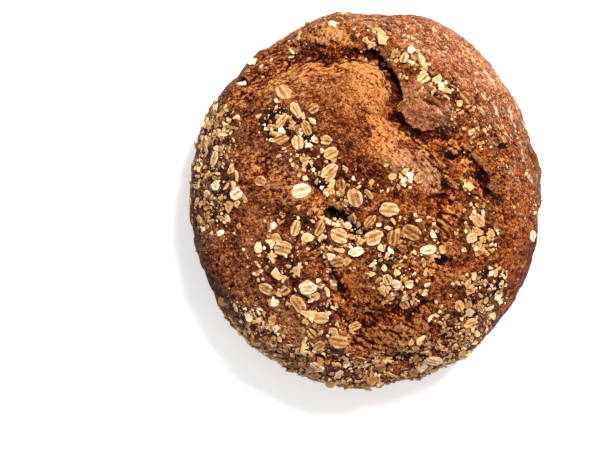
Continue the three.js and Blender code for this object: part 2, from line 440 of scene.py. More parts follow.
@dataclass
class CrustMap:
    """What the oven and the baker's hands did, and where on the crust.

    The lists follow the loaf round: bursts first, then patches of each kind of surface, then where
    the topping lies thick.
    """

    bursts: tuple[Burst, ...] = (
        burst(
            (6.5, 1.0, 4.0, 10, 1.0), (0, 0.2, 0.08, 0.2, 0.1, 0.3, 1, 0.9, 0.5, 0.7, 0.4, 0.3, 0),
            (-0.56, 0.70), (-0.45, 0.735), (-0.33, 0.79), (-0.2, 0.795), (-0.07, 0.775),
            (0.06, 0.77), (0.12, 0.71), (0.165, 0.63), (0.16, 0.55), (0.145, 0.46),
            (0.2, 0.385), (0.29, 0.34), (0.37, 0.345), (0.45, 0.35),
        ),
        burst(
            (2.2, 0.8, 1.9, 5, 0.5), (0, 1, 0.6, 0.9, 0.6, 0.8, 0),
            (0.42, 0.245), (0.52, 0.235), (0.58, 0.2), (0.62, 0.13), (0.65, 0.07), (0.69, 0.0),
        ),
        burst((2.2, 0.6, 1.8, 3, 0.4), (0, 1, 0.7, 0.9, 0), (0.24, 0.61), (0.33, 0.56), (0.43, 0.5)),
        burst((1.0, 0.9, 1.2, 2, 0.6), (0, 1, 0.9, 0), (0.24, 0.53), (0.33, 0.5), (0.44, 0.42)),
        burst((2.2, 0.8, 3, 4, 0.5), (0, 1, 0.6, 0), (-0.73, 0.68), (-0.695, 0.64), (-0.64, 0.58)),
        burst(
            (4.2, 0.4, 3.6, 5, 0.4), (0, 1, 0.9, 0.7, 0),
            (-0.24, -0.035), (-0.18, -0.06), (-0.11, -0.11), (-0.08, -0.15),
        ),
        burst(
            (0.9, 0.3, 3.2, 4, 0.0), (0, 0.6, 1, 0.7, 0.4, 0),
            (-0.12, -0.54), (-0.16, -0.45), (-0.19, -0.36), (-0.26, -0.24),
        ),
        burst((3.4, 0.6, 3.5, 4, 0.4), (0, 1, 0.8, 0), (0.01, -0.84), (0.07, -0.88), (0.14, -0.87)),
        burst(
            (2.2, 0.4, 2.3, 3, 0.2), (0, 1, 0.4, 1, 0),
            (0.2, -0.63), (0.28, -0.56), (0.36, -0.53), (0.4, -0.56),
        ),
        burst((1.2, 0.4, 3.0, 5, 0.0), (0, 1, 0.4, 0), (-0.62, 0.02), (-0.48, 0.06), (-0.34, 0.03)),
        burst((0.9, 0.4, 2.6, 4, 0.0), (0, 0.8, 1, 0), (0.3, -0.34), (0.38, -0.3), (0.48, -0.33)),
        burst((1.1, 0.4, 2.4, 3, 0.1), (0, 1, 1, 0), (0.39, -0.02), (0.43, 0.06), (0.4, 0.14)),
        burst((2.6, 0.5, 1.7, 2, 0.2), (0, 1, 1, 0), (0.735, 0.26), (0.75, 0.285), (0.785, 0.28)),
    )
    torn: tuple[Patch, ...] = (
        patch(6, 4, (-0.58, 0.66), (-0.4, 0.69), (-0.2, 0.71), (0.0, 0.7), (0.1, 0.6)),
        patch(4, 3, (-0.56, 0.75), (-0.46, 0.82), (-0.3, 0.84), (-0.1, 0.83), strength=0.7),
        patch(6.5, 4, (0.19, 0.3), (0.3, 0.22), (0.4, 0.1), (0.42, -0.05), (0.4, -0.17)),
        patch(5, 3.5, (0.44, 0.3), (0.55, 0.15), (0.6, 0.05)),
        patch(12, 6, (-0.08, -0.6), (0.0, -0.7), (0.14, -0.79), (0.25, -0.66), (0.2, -0.57)),
        patch(5, 4, (-0.3, -0.05), (-0.15, -0.1), (0.0, -0.2)),
        patch(5, 4, (-0.14, -0.55), (-0.19, -0.4), (-0.26, -0.26)),
        patch(6, 5, (0.28, -0.25), (0.2, -0.32), (0.32, -0.38), strength=0.6),
        patch(7, 5, (-0.72, 0.52), (-0.6, 0.6), (-0.5, 0.62), strength=0.7),
        patch(8, 6, (-0.62, 0.16), (-0.45, 0.05), (-0.3, 0.0), strength=0.55),
    )
    # Where the dough swelled out: lighter orange crust, with a painted highlight where the bulge and the rim
    # catch the light.
    glow: tuple[Patch, ...] = (
        patch(12, 9, (-0.36, 0.6), (-0.12, 0.54), (0.02, 0.44), strength=0.4),
        patch(9, 7, (-0.04, 0.62), (0.07, 0.48), (0.1, 0.34), (0.12, 0.24)),
        patch(4, 3, (-0.24, 0.87), (-0.16, 0.88), strength=0.5),
        patch(7, 6, (0.12, 0.26), (0.1, 0.16), strength=0.5),
        patch(10, 8, (0.8, -0.3), (0.84, -0.1), (0.84, 0.15), strength=0.28),
        patch(9, 8, (0.55, -0.35), (0.35, -0.2), strength=0.3),
        patch(9, 7, (-0.74, -0.3), (-0.62, -0.16), strength=0.45),
        patch(8, 6, (-0.5, -0.62), (-0.3, -0.68), strength=0.25),
    )
    # Painted sheen: purple-grey colour standing for the light's reflection on smooth crust, on the flap and
    # along the lips.
    mauve: tuple[Patch, ...] = (
        patch(7, 5, (0.19, 0.2), (0.34, 0.13), strength=0.8),
        patch(14, 9, (0.34, 0.84), (0.6, 0.68), (0.78, 0.46), strength=0.75),
        patch(8, 6, (0.24, 0.52), (0.28, 0.43), (0.38, 0.42), strength=0.75),
        patch(9, 7, (-0.55, 0.28), (-0.45, 0.2), strength=0.4),
        patch(9, 7, (-0.45, -0.68), (-0.55, -0.6), strength=0.3),
    )
    # Darker crust round the rim and on the lower torn patch: partly burnt crust, partly painted shade where
    # the rim turns away from the light.
    char: tuple[Patch, ...] = (
        patch(7, 8, (-0.98, 0.1), (-0.97, -0.2), (-0.9, -0.42), (-0.76, -0.62), strength=0.9),
        patch(5, 6, (-0.86, 0.5), (-0.7, 0.68), (-0.5, 0.8), strength=0.5),
        patch(7, 9, (-0.6, -0.8), (-0.1, -0.98), (0.4, -0.92), (0.78, -0.66), strength=0.75),
        patch(6, 8, (0.9, -0.45), (1.0, 0.0), (0.95, 0.35), strength=0.45),
        patch(12, 7, (-0.05, -0.62), (0.1, -0.75), (0.25, -0.66), strength=0.45),
    )
    porous: tuple[Patch, ...] = (
        patch(15, 7, (-0.82, -0.12), (-0.76, -0.36), (-0.6, -0.5)),
        patch(7, 4, (-0.52, 0.75), (-0.36, 0.83), (-0.2, 0.8)),
        patch(8, 5, (0.16, -0.72), (0.3, -0.55)),
    )
    oats: tuple[Patch, ...] = (
        patch(9, 8, (-0.85, 0.42), (-0.88, 0.2), (-0.84, -0.05), strength=0.9),
        patch(9, 7, (-0.5, 0.4), (-0.34, 0.28), (-0.24, 0.14), (-0.12, 0.02), strength=0.8),
        patch(9, 7, (-0.45, -0.12), (-0.2, -0.2), (0.1, -0.2), (0.35, -0.2), strength=0.68),
        patch(12, 8, (-0.55, -0.3), (-0.4, -0.42), (-0.25, -0.6), strength=0.6),
        patch(10, 8, (0.1, -0.35), (0.2, -0.45), strength=0.55),
        patch(10, 8, (-0.7, -0.62), (-0.45, -0.82), (-0.1, -0.92), (0.25, -0.9), (0.5, -0.75), strength=1.0),
        patch(11, 8, (0.3, -0.82), (0.5, -0.65), (0.64, -0.48), strength=1.0),
        patch(6, 5, (0.54, 0.05), (0.62, -0.1), (0.5, -0.2), (0.65, -0.2), strength=0.6),
        patch(6, 5, (0.0, 0.84), (0.2, 0.7), (0.34, 0.6), (0.5, 0.5), strength=0.45),
        patch(5, 4, (0.02, 0.12), (0.12, 0.08), (0.2, 0.1), strength=0.7),
        patch(7, 6, (-0.62, 0.7), (-0.42, 0.86), (-0.1, 0.94), strength=0.15),
        patch(5, 4, (0.52, 0.5), (0.6, 0.36), (0.56, 0.24), strength=0.35),
    )
    dust: tuple[Patch, ...] = (
        patch(15, 8, (0.3, 0.84), (0.62, 0.62), (0.8, 0.3), (0.88, 0.0), strength=0.75),
        patch(9, 7, (-0.4, 0.92), (-0.1, 0.94), (0.2, 0.9), strength=0.9),
        patch(10, 8, (-0.82, 0.45), (-0.9, 0.1), (-0.88, -0.2), strength=0.9),
        patch(14, 9, (-0.7, -0.6), (-0.3, -0.86), (0.2, -0.9), (0.6, -0.66), strength=1.0),
        patch(12, 9, (-0.4, 0.1), (-0.2, -0.3), (0.2, -0.3), strength=0.5),
        patch(5, 4, (0.42, 0.42), (0.5, 0.38), strength=1.0),
    )
    lines: tuple[Patch, ...] = (
        patch(0.3, 0.5, (0.55, 0.756), (0.6, 0.724), (0.64, 0.676), (0.67, 0.64), (0.7, 0.6), (0.715, 0.57)),
        patch(0.6, 0.6, (0.69, 0.51), (0.703, 0.485), (0.715, 0.437), (0.726, 0.4), strength=0.85),
        patch(0.6, 0.5, (0.788, 0.485), (0.8, 0.448), (0.811, 0.411), (0.828, 0.374), (0.834, 0.331)),
        patch(0.3, 0.5, (0.834, 0.331), (0.848, 0.289), (0.857, 0.247), (0.868, 0.193), strength=0.9),
        patch(0.4, 0.5, (0.88, 0.416), (0.897, 0.374), (0.925, 0.31), (0.94, 0.268), strength=0.9),
        patch(0.6, 0.6, (0.775, 0.193), (0.783, 0.162), (0.771, 0.119), (0.76, 0.077), strength=0.8),
        patch(0.5, 0.5, (0.89, 0.15), (0.911, 0.098), strength=0.8),
        patch(0.6, 0.5, (0.2, 0.846), (0.27, 0.832)),
        patch(0.6, 0.5, (0.294, 0.777), (0.34, 0.761)),
    )
    calm: tuple[Patch, ...] = (
        patch(15, 7, (0.3, 0.87), (0.6, 0.72), (0.8, 0.48), (0.91, 0.2), (0.95, -0.1), (0.9, -0.4)),
        patch(8, 5, (0.24, 0.52), (0.28, 0.43), (0.38, 0.42), strength=0.7),
    )


@dataclass
class CrustForm:
    """The loaf's visible surface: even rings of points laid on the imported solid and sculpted.

    Args:
        box: the loaf's size.
        chart: what lies where on the crust.
        dome_rings: rings from the crown to the belly. Each has six points more than the last.
        side_rings: rings from the belly to the foot.
        base_steps: how far in each ring of the base lies, as shares of the foot's radius.
        belly_share: the belly's height as a share of the loaf's.
        dome_fullness: squareness of the dome that the rays start from.
        foot_share: the foot's radius as a share of the belly's.
    """

    box: LoafBox
    chart: CrustMap
    dome_rings: int = 156
    side_rings: int = 20
    base_steps: tuple[float, ...] = (0.95, 0.86, 0.7)
    belly_share: float = 0.36
    dome_fullness: float = 2.3
    foot_share: float = 0.82
    points: np.ndarray = field(init=False)
    faces: np.ndarray = field(init=False)
    edges: np.ndarray = field(init=False)
    valence: np.ndarray = field(init=False)
    bearing: np.ndarray = field(init=False)
    run: np.ndarray = field(init=False)
    lips: np.ndarray = field(init=False)
    base_start: int = field(init=False)
    base_face_start: int = field(init=False)
    masks: dict[Mask, np.ndarray] = field(default_factory=dict)

    # -- the rings -------------------------------------------------------------------------

    def _profile(self) -> tuple[np.ndarray, np.ndarray, np.ndarray]:
        """The half section that the rays start from.

        Returns:
            Radius shares, heights, and the run along the section, for every ring from the crown.
        """
        belly = self.box.height * self.belly_share
        rise = self.box.height - belly
        turn = np.linspace(math.pi / 2, 0, 800)
        radius = np.cos(turn) ** (2 / self.dome_fullness)
        height = belly + rise * np.sin(turn) ** (2 / self.dome_fullness)
        mean = (self.box.width + self.box.length) / 4
        run = np.concatenate([[0], np.cumsum(np.hypot(np.diff(radius * mean), np.diff(height)))])
        even = np.linspace(0, run[-1], self.dome_rings + 1)
        dome = np.interp(even, run, radius), np.interp(even, run, height), even
        turn = np.linspace(0, math.pi / 2, self.side_rings + 1)[1:]
        side_radius = self.foot_share + (1 - self.foot_share) * np.cos(turn)
        side_height = belly * (1 - np.sin(turn))
        step = np.hypot(
            np.diff(np.concatenate([[1], side_radius])) * mean,
            np.diff(np.concatenate([[belly], side_height])),
        )
        side_run = even[-1] + np.cumsum(step)
        return (
            np.concatenate([dome[0], side_radius]),
            np.concatenate([dome[1], side_height]),
            np.concatenate([dome[2], side_run]),
        )

    @staticmethod
    def _dome_faces(ring: int, inner: int, outer: int) -> np.ndarray:
        """Triangles between one dome ring and the next, which has six points more.

        Args:
            ring: the outer ring's number.
            inner: index of the inner ring's first point.
            outer: index of the outer ring's first point.

        Returns:
            Point indices, one triangle a row.
        """
        few, many = max(6 * (ring - 1), 1), 6 * ring
        sector, step = np.divmod(np.arange(many), ring)
        near = (sector * (ring - 1) + step) % few
        fan = np.stack([inner + near, outer + np.arange(many), outer + (np.arange(many) + 1) % many], 1)
        if ring == 1:
            return fan
        between = step < ring - 1
        here = near[between]
        far = (np.arange(many)[between] + 1) % many
        wedge = np.stack([inner + here, outer + far, inner + (here + 1) % few], 1)
        return np.vstack([fan, wedge])

    @staticmethod
    def _band_faces(count: int, upper: int, lower: int) -> np.ndarray:
        """Triangles between two rings with the same number of points.

        Args:
            count: points in each ring.
            upper: index of the upper ring's first point.
            lower: index of the lower ring's first point.

        Returns:
            Point indices, one triangle a row.
        """
        here = np.arange(count)
        then = (here + 1) % count
        first = np.stack([upper + here, lower + here, lower + then], 1)
        second = np.stack([upper + here, lower + then, upper + then], 1)
        return np.vstack([first, second])

    @staticmethod
    def _halving_faces(count: int, outer: int, inner: int) -> np.ndarray:
        """Triangles between a ring and one with half as many points.

        Args:
            count: points in the inner ring.
            outer: index of the outer ring's first point.
            inner: index of the inner ring's first point.

        Returns:
            Point indices, one triangle a row.
        """
        here = np.arange(count)
        then = (here + 1) % count
        left, middle = outer + 2 * here, outer + 2 * here + 1
        right = outer + 2 * then
        return np.vstack(
            [
                np.stack([left, inner + here, middle], 1),
                np.stack([middle, inner + here, inner + then], 1),
                np.stack([middle, inner + then, right], 1),
            ]
        )

    def lay_rings(self) -> None:
        """Lays the even rings of points and joins them into a closed surface."""
        radius, height, run = self._profile()
        rows, faces = [np.array([[0.0, 0.0, height[0]]])], []
        bearing_rows, run_rows = [np.zeros(1)], [np.zeros(1)]
        first, total, count = 0, 1, 1
        for ring in range(1, len(radius)):
            on_dome = ring <= self.dome_rings
            count = 6 * ring if on_dome else 6 * self.dome_rings
            turn = np.arange(count) / count * 2 * math.pi
            rows.append(self._ring(radius[ring], height[ring], turn))
            bearing_rows.append(turn)
            run_rows.append(np.full(count, run[ring]))
            if on_dome:
                faces.append(self._dome_faces(ring, first, total))
            else:
                faces.append(self._band_faces(count, first, total))
            first, total = total, total + count
        self.base_start = total
        self.base_face_start = sum(len(block) for block in faces)
        for step in self.base_steps:
            count //= 2
            turn = np.arange(count) / count * 2 * math.pi
            rows.append(self._ring(radius[-1] * step, 0.0, turn))
            bearing_rows.append(turn)
            run_rows.append(np.full(count, run[-1]))
            faces.append(self._halving_faces(count, first, total))
            first, total = total, total + count
        rows.append(np.zeros((1, 3)))
        bearing_rows.append(np.zeros(1))
        run_rows.append(np.array([run[-1]]))
        here = np.arange(count)
        middle = np.full(count, total)
        faces.append(np.stack([first + here, middle, first + (here + 1) % count], 1))
        self.points, self.faces = np.vstack(rows), np.vstack(faces)
        self.bearing, self.run = np.concatenate(bearing_rows), np.concatenate(run_rows)
        self._find_edges()

    def _ring(self, radius: float, height: float, turn: np.ndarray) -> np.ndarray:
        """One oval ring of points.

        Args:
            radius: its radius as a share of the loaf's half sizes.
            height: its height.
            turn: the bearing of each point.

        Returns:
            One point a row.
        """
        x = radius * self.box.width / 2 * np.cos(turn)
        y = radius * self.box.length / 2 * np.sin(turn)
        return np.stack([x, y, np.full(len(turn), height)], 1)

    def _find_edges(self) -> None:
        """Finds each point's neighbours."""
        pairs = np.vstack([self.faces[:, [0, 1]], self.faces[:, [1, 2]], self.faces[:, [2, 0]]])
        self.edges = np.unique(np.sort(pairs, axis=1), axis=0)
        self.valence = np.bincount(self.edges.ravel(), minlength=len(self.points)).astype(float)

    # -- working on the surface ------------------------------------------------------------

    def neighbour_mean(self, values: np.ndarray) -> np.ndarray:
        """The mean of each point's neighbours.

        Args:
            values: one row for each point.

        Returns:
            The means, in the same shape.
        """
        a, b = self.edges.T
        count = len(self.points)
        columns = []
        for column in values.reshape(count, -1).T:
            total = np.bincount(a, column[b], count) + np.bincount(b, column[a], count)
            columns.append(total / self.valence)
        return np.stack(columns, 1).reshape(values.shape)

    def smoothed(self, values: np.ndarray, rounds: int, share: float = 0.5) -> np.ndarray:
        """Evens values out over the surface.

        Args:
            values: one row for each point.
            rounds: how many times.
            share: how far each value moves to its neighbours' mean.

        Returns:
            The evened values.
        """
        for _ in range(rounds):
            values = values + share * (self.neighbour_mean(values) - values)
        return values

    def normals(self) -> np.ndarray:
        """Unit normals of the surface at its points."""
        a, b, c = (self.points[self.faces[:, i]] for i in range(3))
        flat = np.cross(b - a, c - a)
        total = np.zeros_like(self.points)
        for corner in range(3):
            for axis in range(3):
                total[:, axis] += np.bincount(
                    self.faces[:, corner], flat[:, axis], len(self.points)
                )
        return total / np.maximum(np.linalg.norm(total, axis=1), 1e-12)[:, None]

    def wrap(self, solid: BVHTree) -> None:
        """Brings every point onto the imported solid, then evens the facets out.

        Args:
            solid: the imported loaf.
        """
        start, inward = 22 * MM, -self.normals()
        for i in range(self.base_start):
            way = Vector(inward[i])
            hit = solid.ray_cast(Vector(self.points[i]) - way * start, way, 3 * start)[0]
            if hit is not None:
                self.points[i] = hit
        moving = np.ones(len(self.points))
        moving[self.base_start :] = 0
        for _ in range(34):
            step = self.neighbour_mean(self.points) - self.points
            self.points += 0.5 * moving[:, None] * step

    def push(self, height: np.ndarray) -> None:
        """Moves every point along its normal.

        Args:
            height: how far, in metres.
        """
        self.points += self.normals() * (height * self._free())[:, None]

    def _free(self) -> np.ndarray:
        """How freely each point may move: not at all on the base, fully above the foot."""
        free = smoothstep(0.5 * MM, 7 * MM, self.points[:, 2])
        free[self.base_start :] = 0
        return free

    def cover(self, patches: tuple[Patch, ...], seed: int, ragged: float = 3.0) -> np.ndarray:
        """How strongly a set of patches covers each point.

        Args:
            patches: the patches.
            seed: picks the raggedness.
            ragged: how far the edges wander, in millimetres.

        Returns:
            Values from 0 to 1.
        """
        wander = Noise(seed).fractal(self.points, 11 * MM, 4) * ragged * MM
        at = self.points[:, :2]
        total = np.zeros(len(self.points))
        for one in patches:
            total = np.maximum(total, one.value(self.box, at, wander))
        upper = smoothstep(8 * MM, 24 * MM, self.points[:, 2])
        return total * upper

    # -- sculpting -------------------------------------------------------------------------

    def open_burst(self, one: Burst, seed: int) -> np.ndarray:
        """Sinks a burst's floor, raises its lip and leans it over the floor.

        Args:
            one: the burst.
            seed: picks its raggedness.

        Returns:
            How deep in the burst each point lies, from 0 to 1.
        """
        noise = Noise(seed)
        wander = noise.fractal(self.points, 10 * MM, 5) * 2.2 * MM
        distance, share, side = one.trail.measure(self.box, self.points[:, :2])
        distance = distance + wander + noise.fractal(self.points, 2.6 * MM, 2) * 0.7 * MM
        opened = np.interp(share, np.linspace(0, 1, len(one.swell)), one.swell)
        near = smoothstep(-2.4, -1.2, distance / one.inner) * (1 - smoothstep(2.0, 3.2, distance / one.fade))
        near *= smoothstep(14 * MM, 26 * MM, self.points[:, 2])
        vigour = opened * near * (1 + 0.6 * noise.fractal(self.points, 6 * MM, 3))
        wall = 1.5 * MM
        floor = np.exp(-(np.clip(-distance, 0, None) / one.inner) ** 1.6)
        rise = smoothstep(0, wall, distance)
        beyond = np.clip(distance - wall, 0, None)
        lip = one.lip * np.exp(-((beyond / one.fade) ** 2))
        height = vigour * (rise * lip - (1 - rise) * floor * one.depth)
        lean = vigour * one.overhang * rise * np.exp(-beyond / (3 * MM))
        self.push(height)
        self.points[:, :2] -= side * (lean * self._free())[:, None]
        self.lips = np.maximum(self.lips, vigour * rise * np.exp(-beyond / (2.2 * MM)))
        return vigour * floor * (1 - smoothstep(0.3, 1.0, rise))

    def _texture(self, torn: np.ndarray, glow: np.ndarray, porous: np.ndarray) -> np.ndarray:
        """The crust's fine relief.

        Args:
            torn: where the crust tore.
            glow: where the dough swelled out smoothly.
            porous: where pores stand open.

        Returns:
            How far each point rises, in metres.
        """
        at = self.points
        rough = np.clip(1 - 0.65 * glow, 0, 1)
        rise = 1.5 * MM * Noise(3).fractal(at, 24 * MM, 2)
        rise += 0.75 * MM * rough * Noise(4).fractal(at, 9 * MM, 3)
        rise += 0.3 * MM * (0.5 + 0.5 * rough) * Noise(5).fractal(at, 3.4 * MM, 3)
        wrinkle = Noise(6).ridged(at, 15 * MM, 3)
        rise -= 0.7 * MM * rough * smoothstep(0.6, 0.95, wrinkle)
        slant = self.masks[Mask.SLANT]
        for angle, share, seed in ((-0.62, slant, 12), (0.08, 1 - slant, 13)):
            fibre = Noise(seed).ridged(along(at, angle, 0.28), 4.2 * MM, 3)
            rise -= (0.45 + 0.5 * np.maximum(torn, glow)) * MM * share * smoothstep(0.45, 0.95, fibre)
            shred = Noise(seed + 60).ridged(along(at, angle, 0.3), 5.5 * MM, 4)
            rise -= 1.6 * MM * torn * share * smoothstep(0.4, 0.9, shred)
        rise += 0.75 * MM * torn * Noise(8).fractal(at, 5 * MM, 4)
        rise -= 1.2 * MM * torn * self._pits(9, 4.0 * MM, 0.3)
        rise -= 0.8 * MM * self._pits(10, 6.0 * MM, 0.22)
        rise -= 1.7 * MM * porous * self._pits(11, 3.8 * MM, 0.55)
        rise += 0.7 * MM * self._blisters()
        return rise

    def _pits(self, seed: int, scale: float, share: float) -> np.ndarray:
        """Small open pores.

        Args:
            seed: picks them.
            scale: mean distance between them in metres.
            share: how many of them are open.

        Returns:
            1 at the middle of a pore, 0 between pores.
        """
        bent = self.points + 0.35 * scale * Noise(seed + 1).smooth(self.points, scale)[:, None]
        away, draw = Noise(seed).cells(bent, scale)
        size = 0.2 + 0.22 * draw / share
        return np.where(draw < share, 1 - smoothstep(0.35, 1.0, away / size), 0)

    def _blisters(self) -> np.ndarray:
        """Low blisters that steam raised.

        Returns:
            1 at the top of a blister, 0 between them.
        """
        away, draw = Noise(21).cells(self.points, 13 * MM)
        return np.where(draw < 0.3, 1 - smoothstep(0.0, 0.42, away), 0)

    def sculpt(self) -> None:
        """Opens the bursts, roughens the crust and keeps the masks of its kinds of surface."""
        deep = np.zeros(len(self.points))
        self.lips = np.zeros(len(self.points))
        bent = self.points[:, 0] + 14 * MM * Noise(67).fractal(self.points, 30 * MM, 2)
        self.masks[Mask.SLANT] = smoothstep(-38 * MM, 2 * MM, bent)
        for number, one in enumerate(self.chart.bursts):
            deep = np.maximum(deep, self.open_burst(one, 40 + number))
        torn = np.maximum(self.cover(self.chart.torn, 60), smoothstep(0.1, 0.7, deep))
        # Swollen dough, which the finish also lights up with a painted highlight.
        glow = self.cover(self.chart.glow, 61) * (1 - 0.6 * smoothstep(0.1, 0.6, deep))
        porous = self.cover(self.chart.porous, 62)
        self.push(self._texture(torn, glow, porous))
        self.points[:, 2] = np.maximum(self.points[:, 2], 0)
        self.masks[Mask.TORN] = torn
        self.masks[Mask.GLOW] = glow
        # Painted sheen on the smooth crust and along the burst lips.
        self.masks[Mask.MAUVE] = np.maximum(self.cover(self.chart.mauve, 63), 0.6 * self.lips)
        oats = self.cover(self.chart.oats, 65, 5.0) * (1 - 0.8 * deep)
        # Burnt patches and darker lips, with painted shade in the burst floors, between thick oats and on the
        # lower side towards the foot.
        char = np.maximum(self.cover(self.chart.char, 64), 0.9 * smoothstep(0.35, 1.0, deep))
        side = 0.85 * (1 - smoothstep(6 * MM, 30 * MM, self.points[:, 2]))
        self.masks[Mask.CHAR] = np.maximum.reduce([char, 0.86 * oats, side, 0.75 * self.lips])
        self.masks[Mask.OATS] = oats
        self.masks[Mask.DUST] = self.cover(self.chart.dust, 66, 5.0)
        self.masks[Mask.FLOUR] = 0.5 * self.masks[Mask.DUST] + 0.5 * self.masks[Mask.MAUVE]
        broken = smoothstep(-0.15, 0.25, Noise(69).fractal(self.points, 2.0 * MM, 2))
        self.masks[Mask.LINES] = self.cover(self.chart.lines, 68, 0.9) * broken
        self.masks[Mask.CALM] = self.cover(self.chart.calm, 70)

    def find_cavities(self) -> None:
        """Keeps how hollow the crust is at each point: 0.5 on even ground, more in a hollow. The finish paints
        shade into the hollows and highlight onto the ridges from it.
        """
        normal = self.normals()
        fine = np.sum((self.smoothed(self.points, 6) - self.points) * normal, axis=1)
        broad = np.sum((self.smoothed(self.points, 60) - self.points) * normal, axis=1)
        hollow = fine / (0.36 * MM) + np.maximum(broad / (1.0 * MM), -0.4)
        self.masks[Mask.CAVITY] = np.clip(0.5 + 0.3 * hollow, 0, 1)

    # -- as a Blender mesh -----------------------------------------------------------------

    def _bake_map(self, mesh: bpy.types.Mesh) -> None:
        """Gives the mesh its own flat map: the dome and side as one disc, the base as another.

        Args:
            mesh: the crust's mesh.
        """
        share = self.run / self.run.max()
        way = np.stack([np.cos(self.bearing), np.sin(self.bearing)], 1)
        top = 0.44 + 0.43 * share[:, None] * way
        foot = self.foot_share * np.array([self.box.width, self.box.length]) / 2
        base = 0.855 + 0.13 * (self.points[:, :2] / foot / 1.05) * np.array([-1, 1])
        corner = self.faces.ravel()
        uv = top[corner]
        first = self.base_face_start * 3
        uv[first:] = base[corner[first:]]
        layer = mesh.uv_layers.new(name="OFBake")
        layer.data.foreach_set("uv", uv.astype(np.float32).ravel())

    def mesh(self, name: str) -> bpy.types.Mesh:
        """The surface as a Blender mesh with its masks.

        Args:
            name: the mesh's name.

        Returns:
            The mesh.
        """
        mesh = bpy.data.meshes.new(name)
        mesh.from_pydata(self.points.tolist(), [], self.faces.tolist())
        mesh.shade_smooth()
        for mask, values in self.masks.items():
            layer = mesh.attributes.new(mask.value, "FLOAT", "POINT")
            layer.data.foreach_set("value", values.astype(np.float32))
        self._bake_map(mesh)
        return mesh


# ---------------------------------------------------------------------------------------------
# Finishes
# ---------------------------------------------------------------------------------------------


def colour(code: str) -> tuple[float, float, float, float]:
    """A display colour as the linear colour that a shader takes.

    Args:
        code: six hexadecimal digits.

    Returns:
        Red, green, blue and alpha.
    """
    shares = [int(code[i : i + 2], 16) / 255 for i in (0, 2, 4)]
    linear = [s / 12.92 if s <= 0.04045 else ((s + 0.055) / 1.055) ** 2.4 for s in shares]
    return (*linear, 1.0)


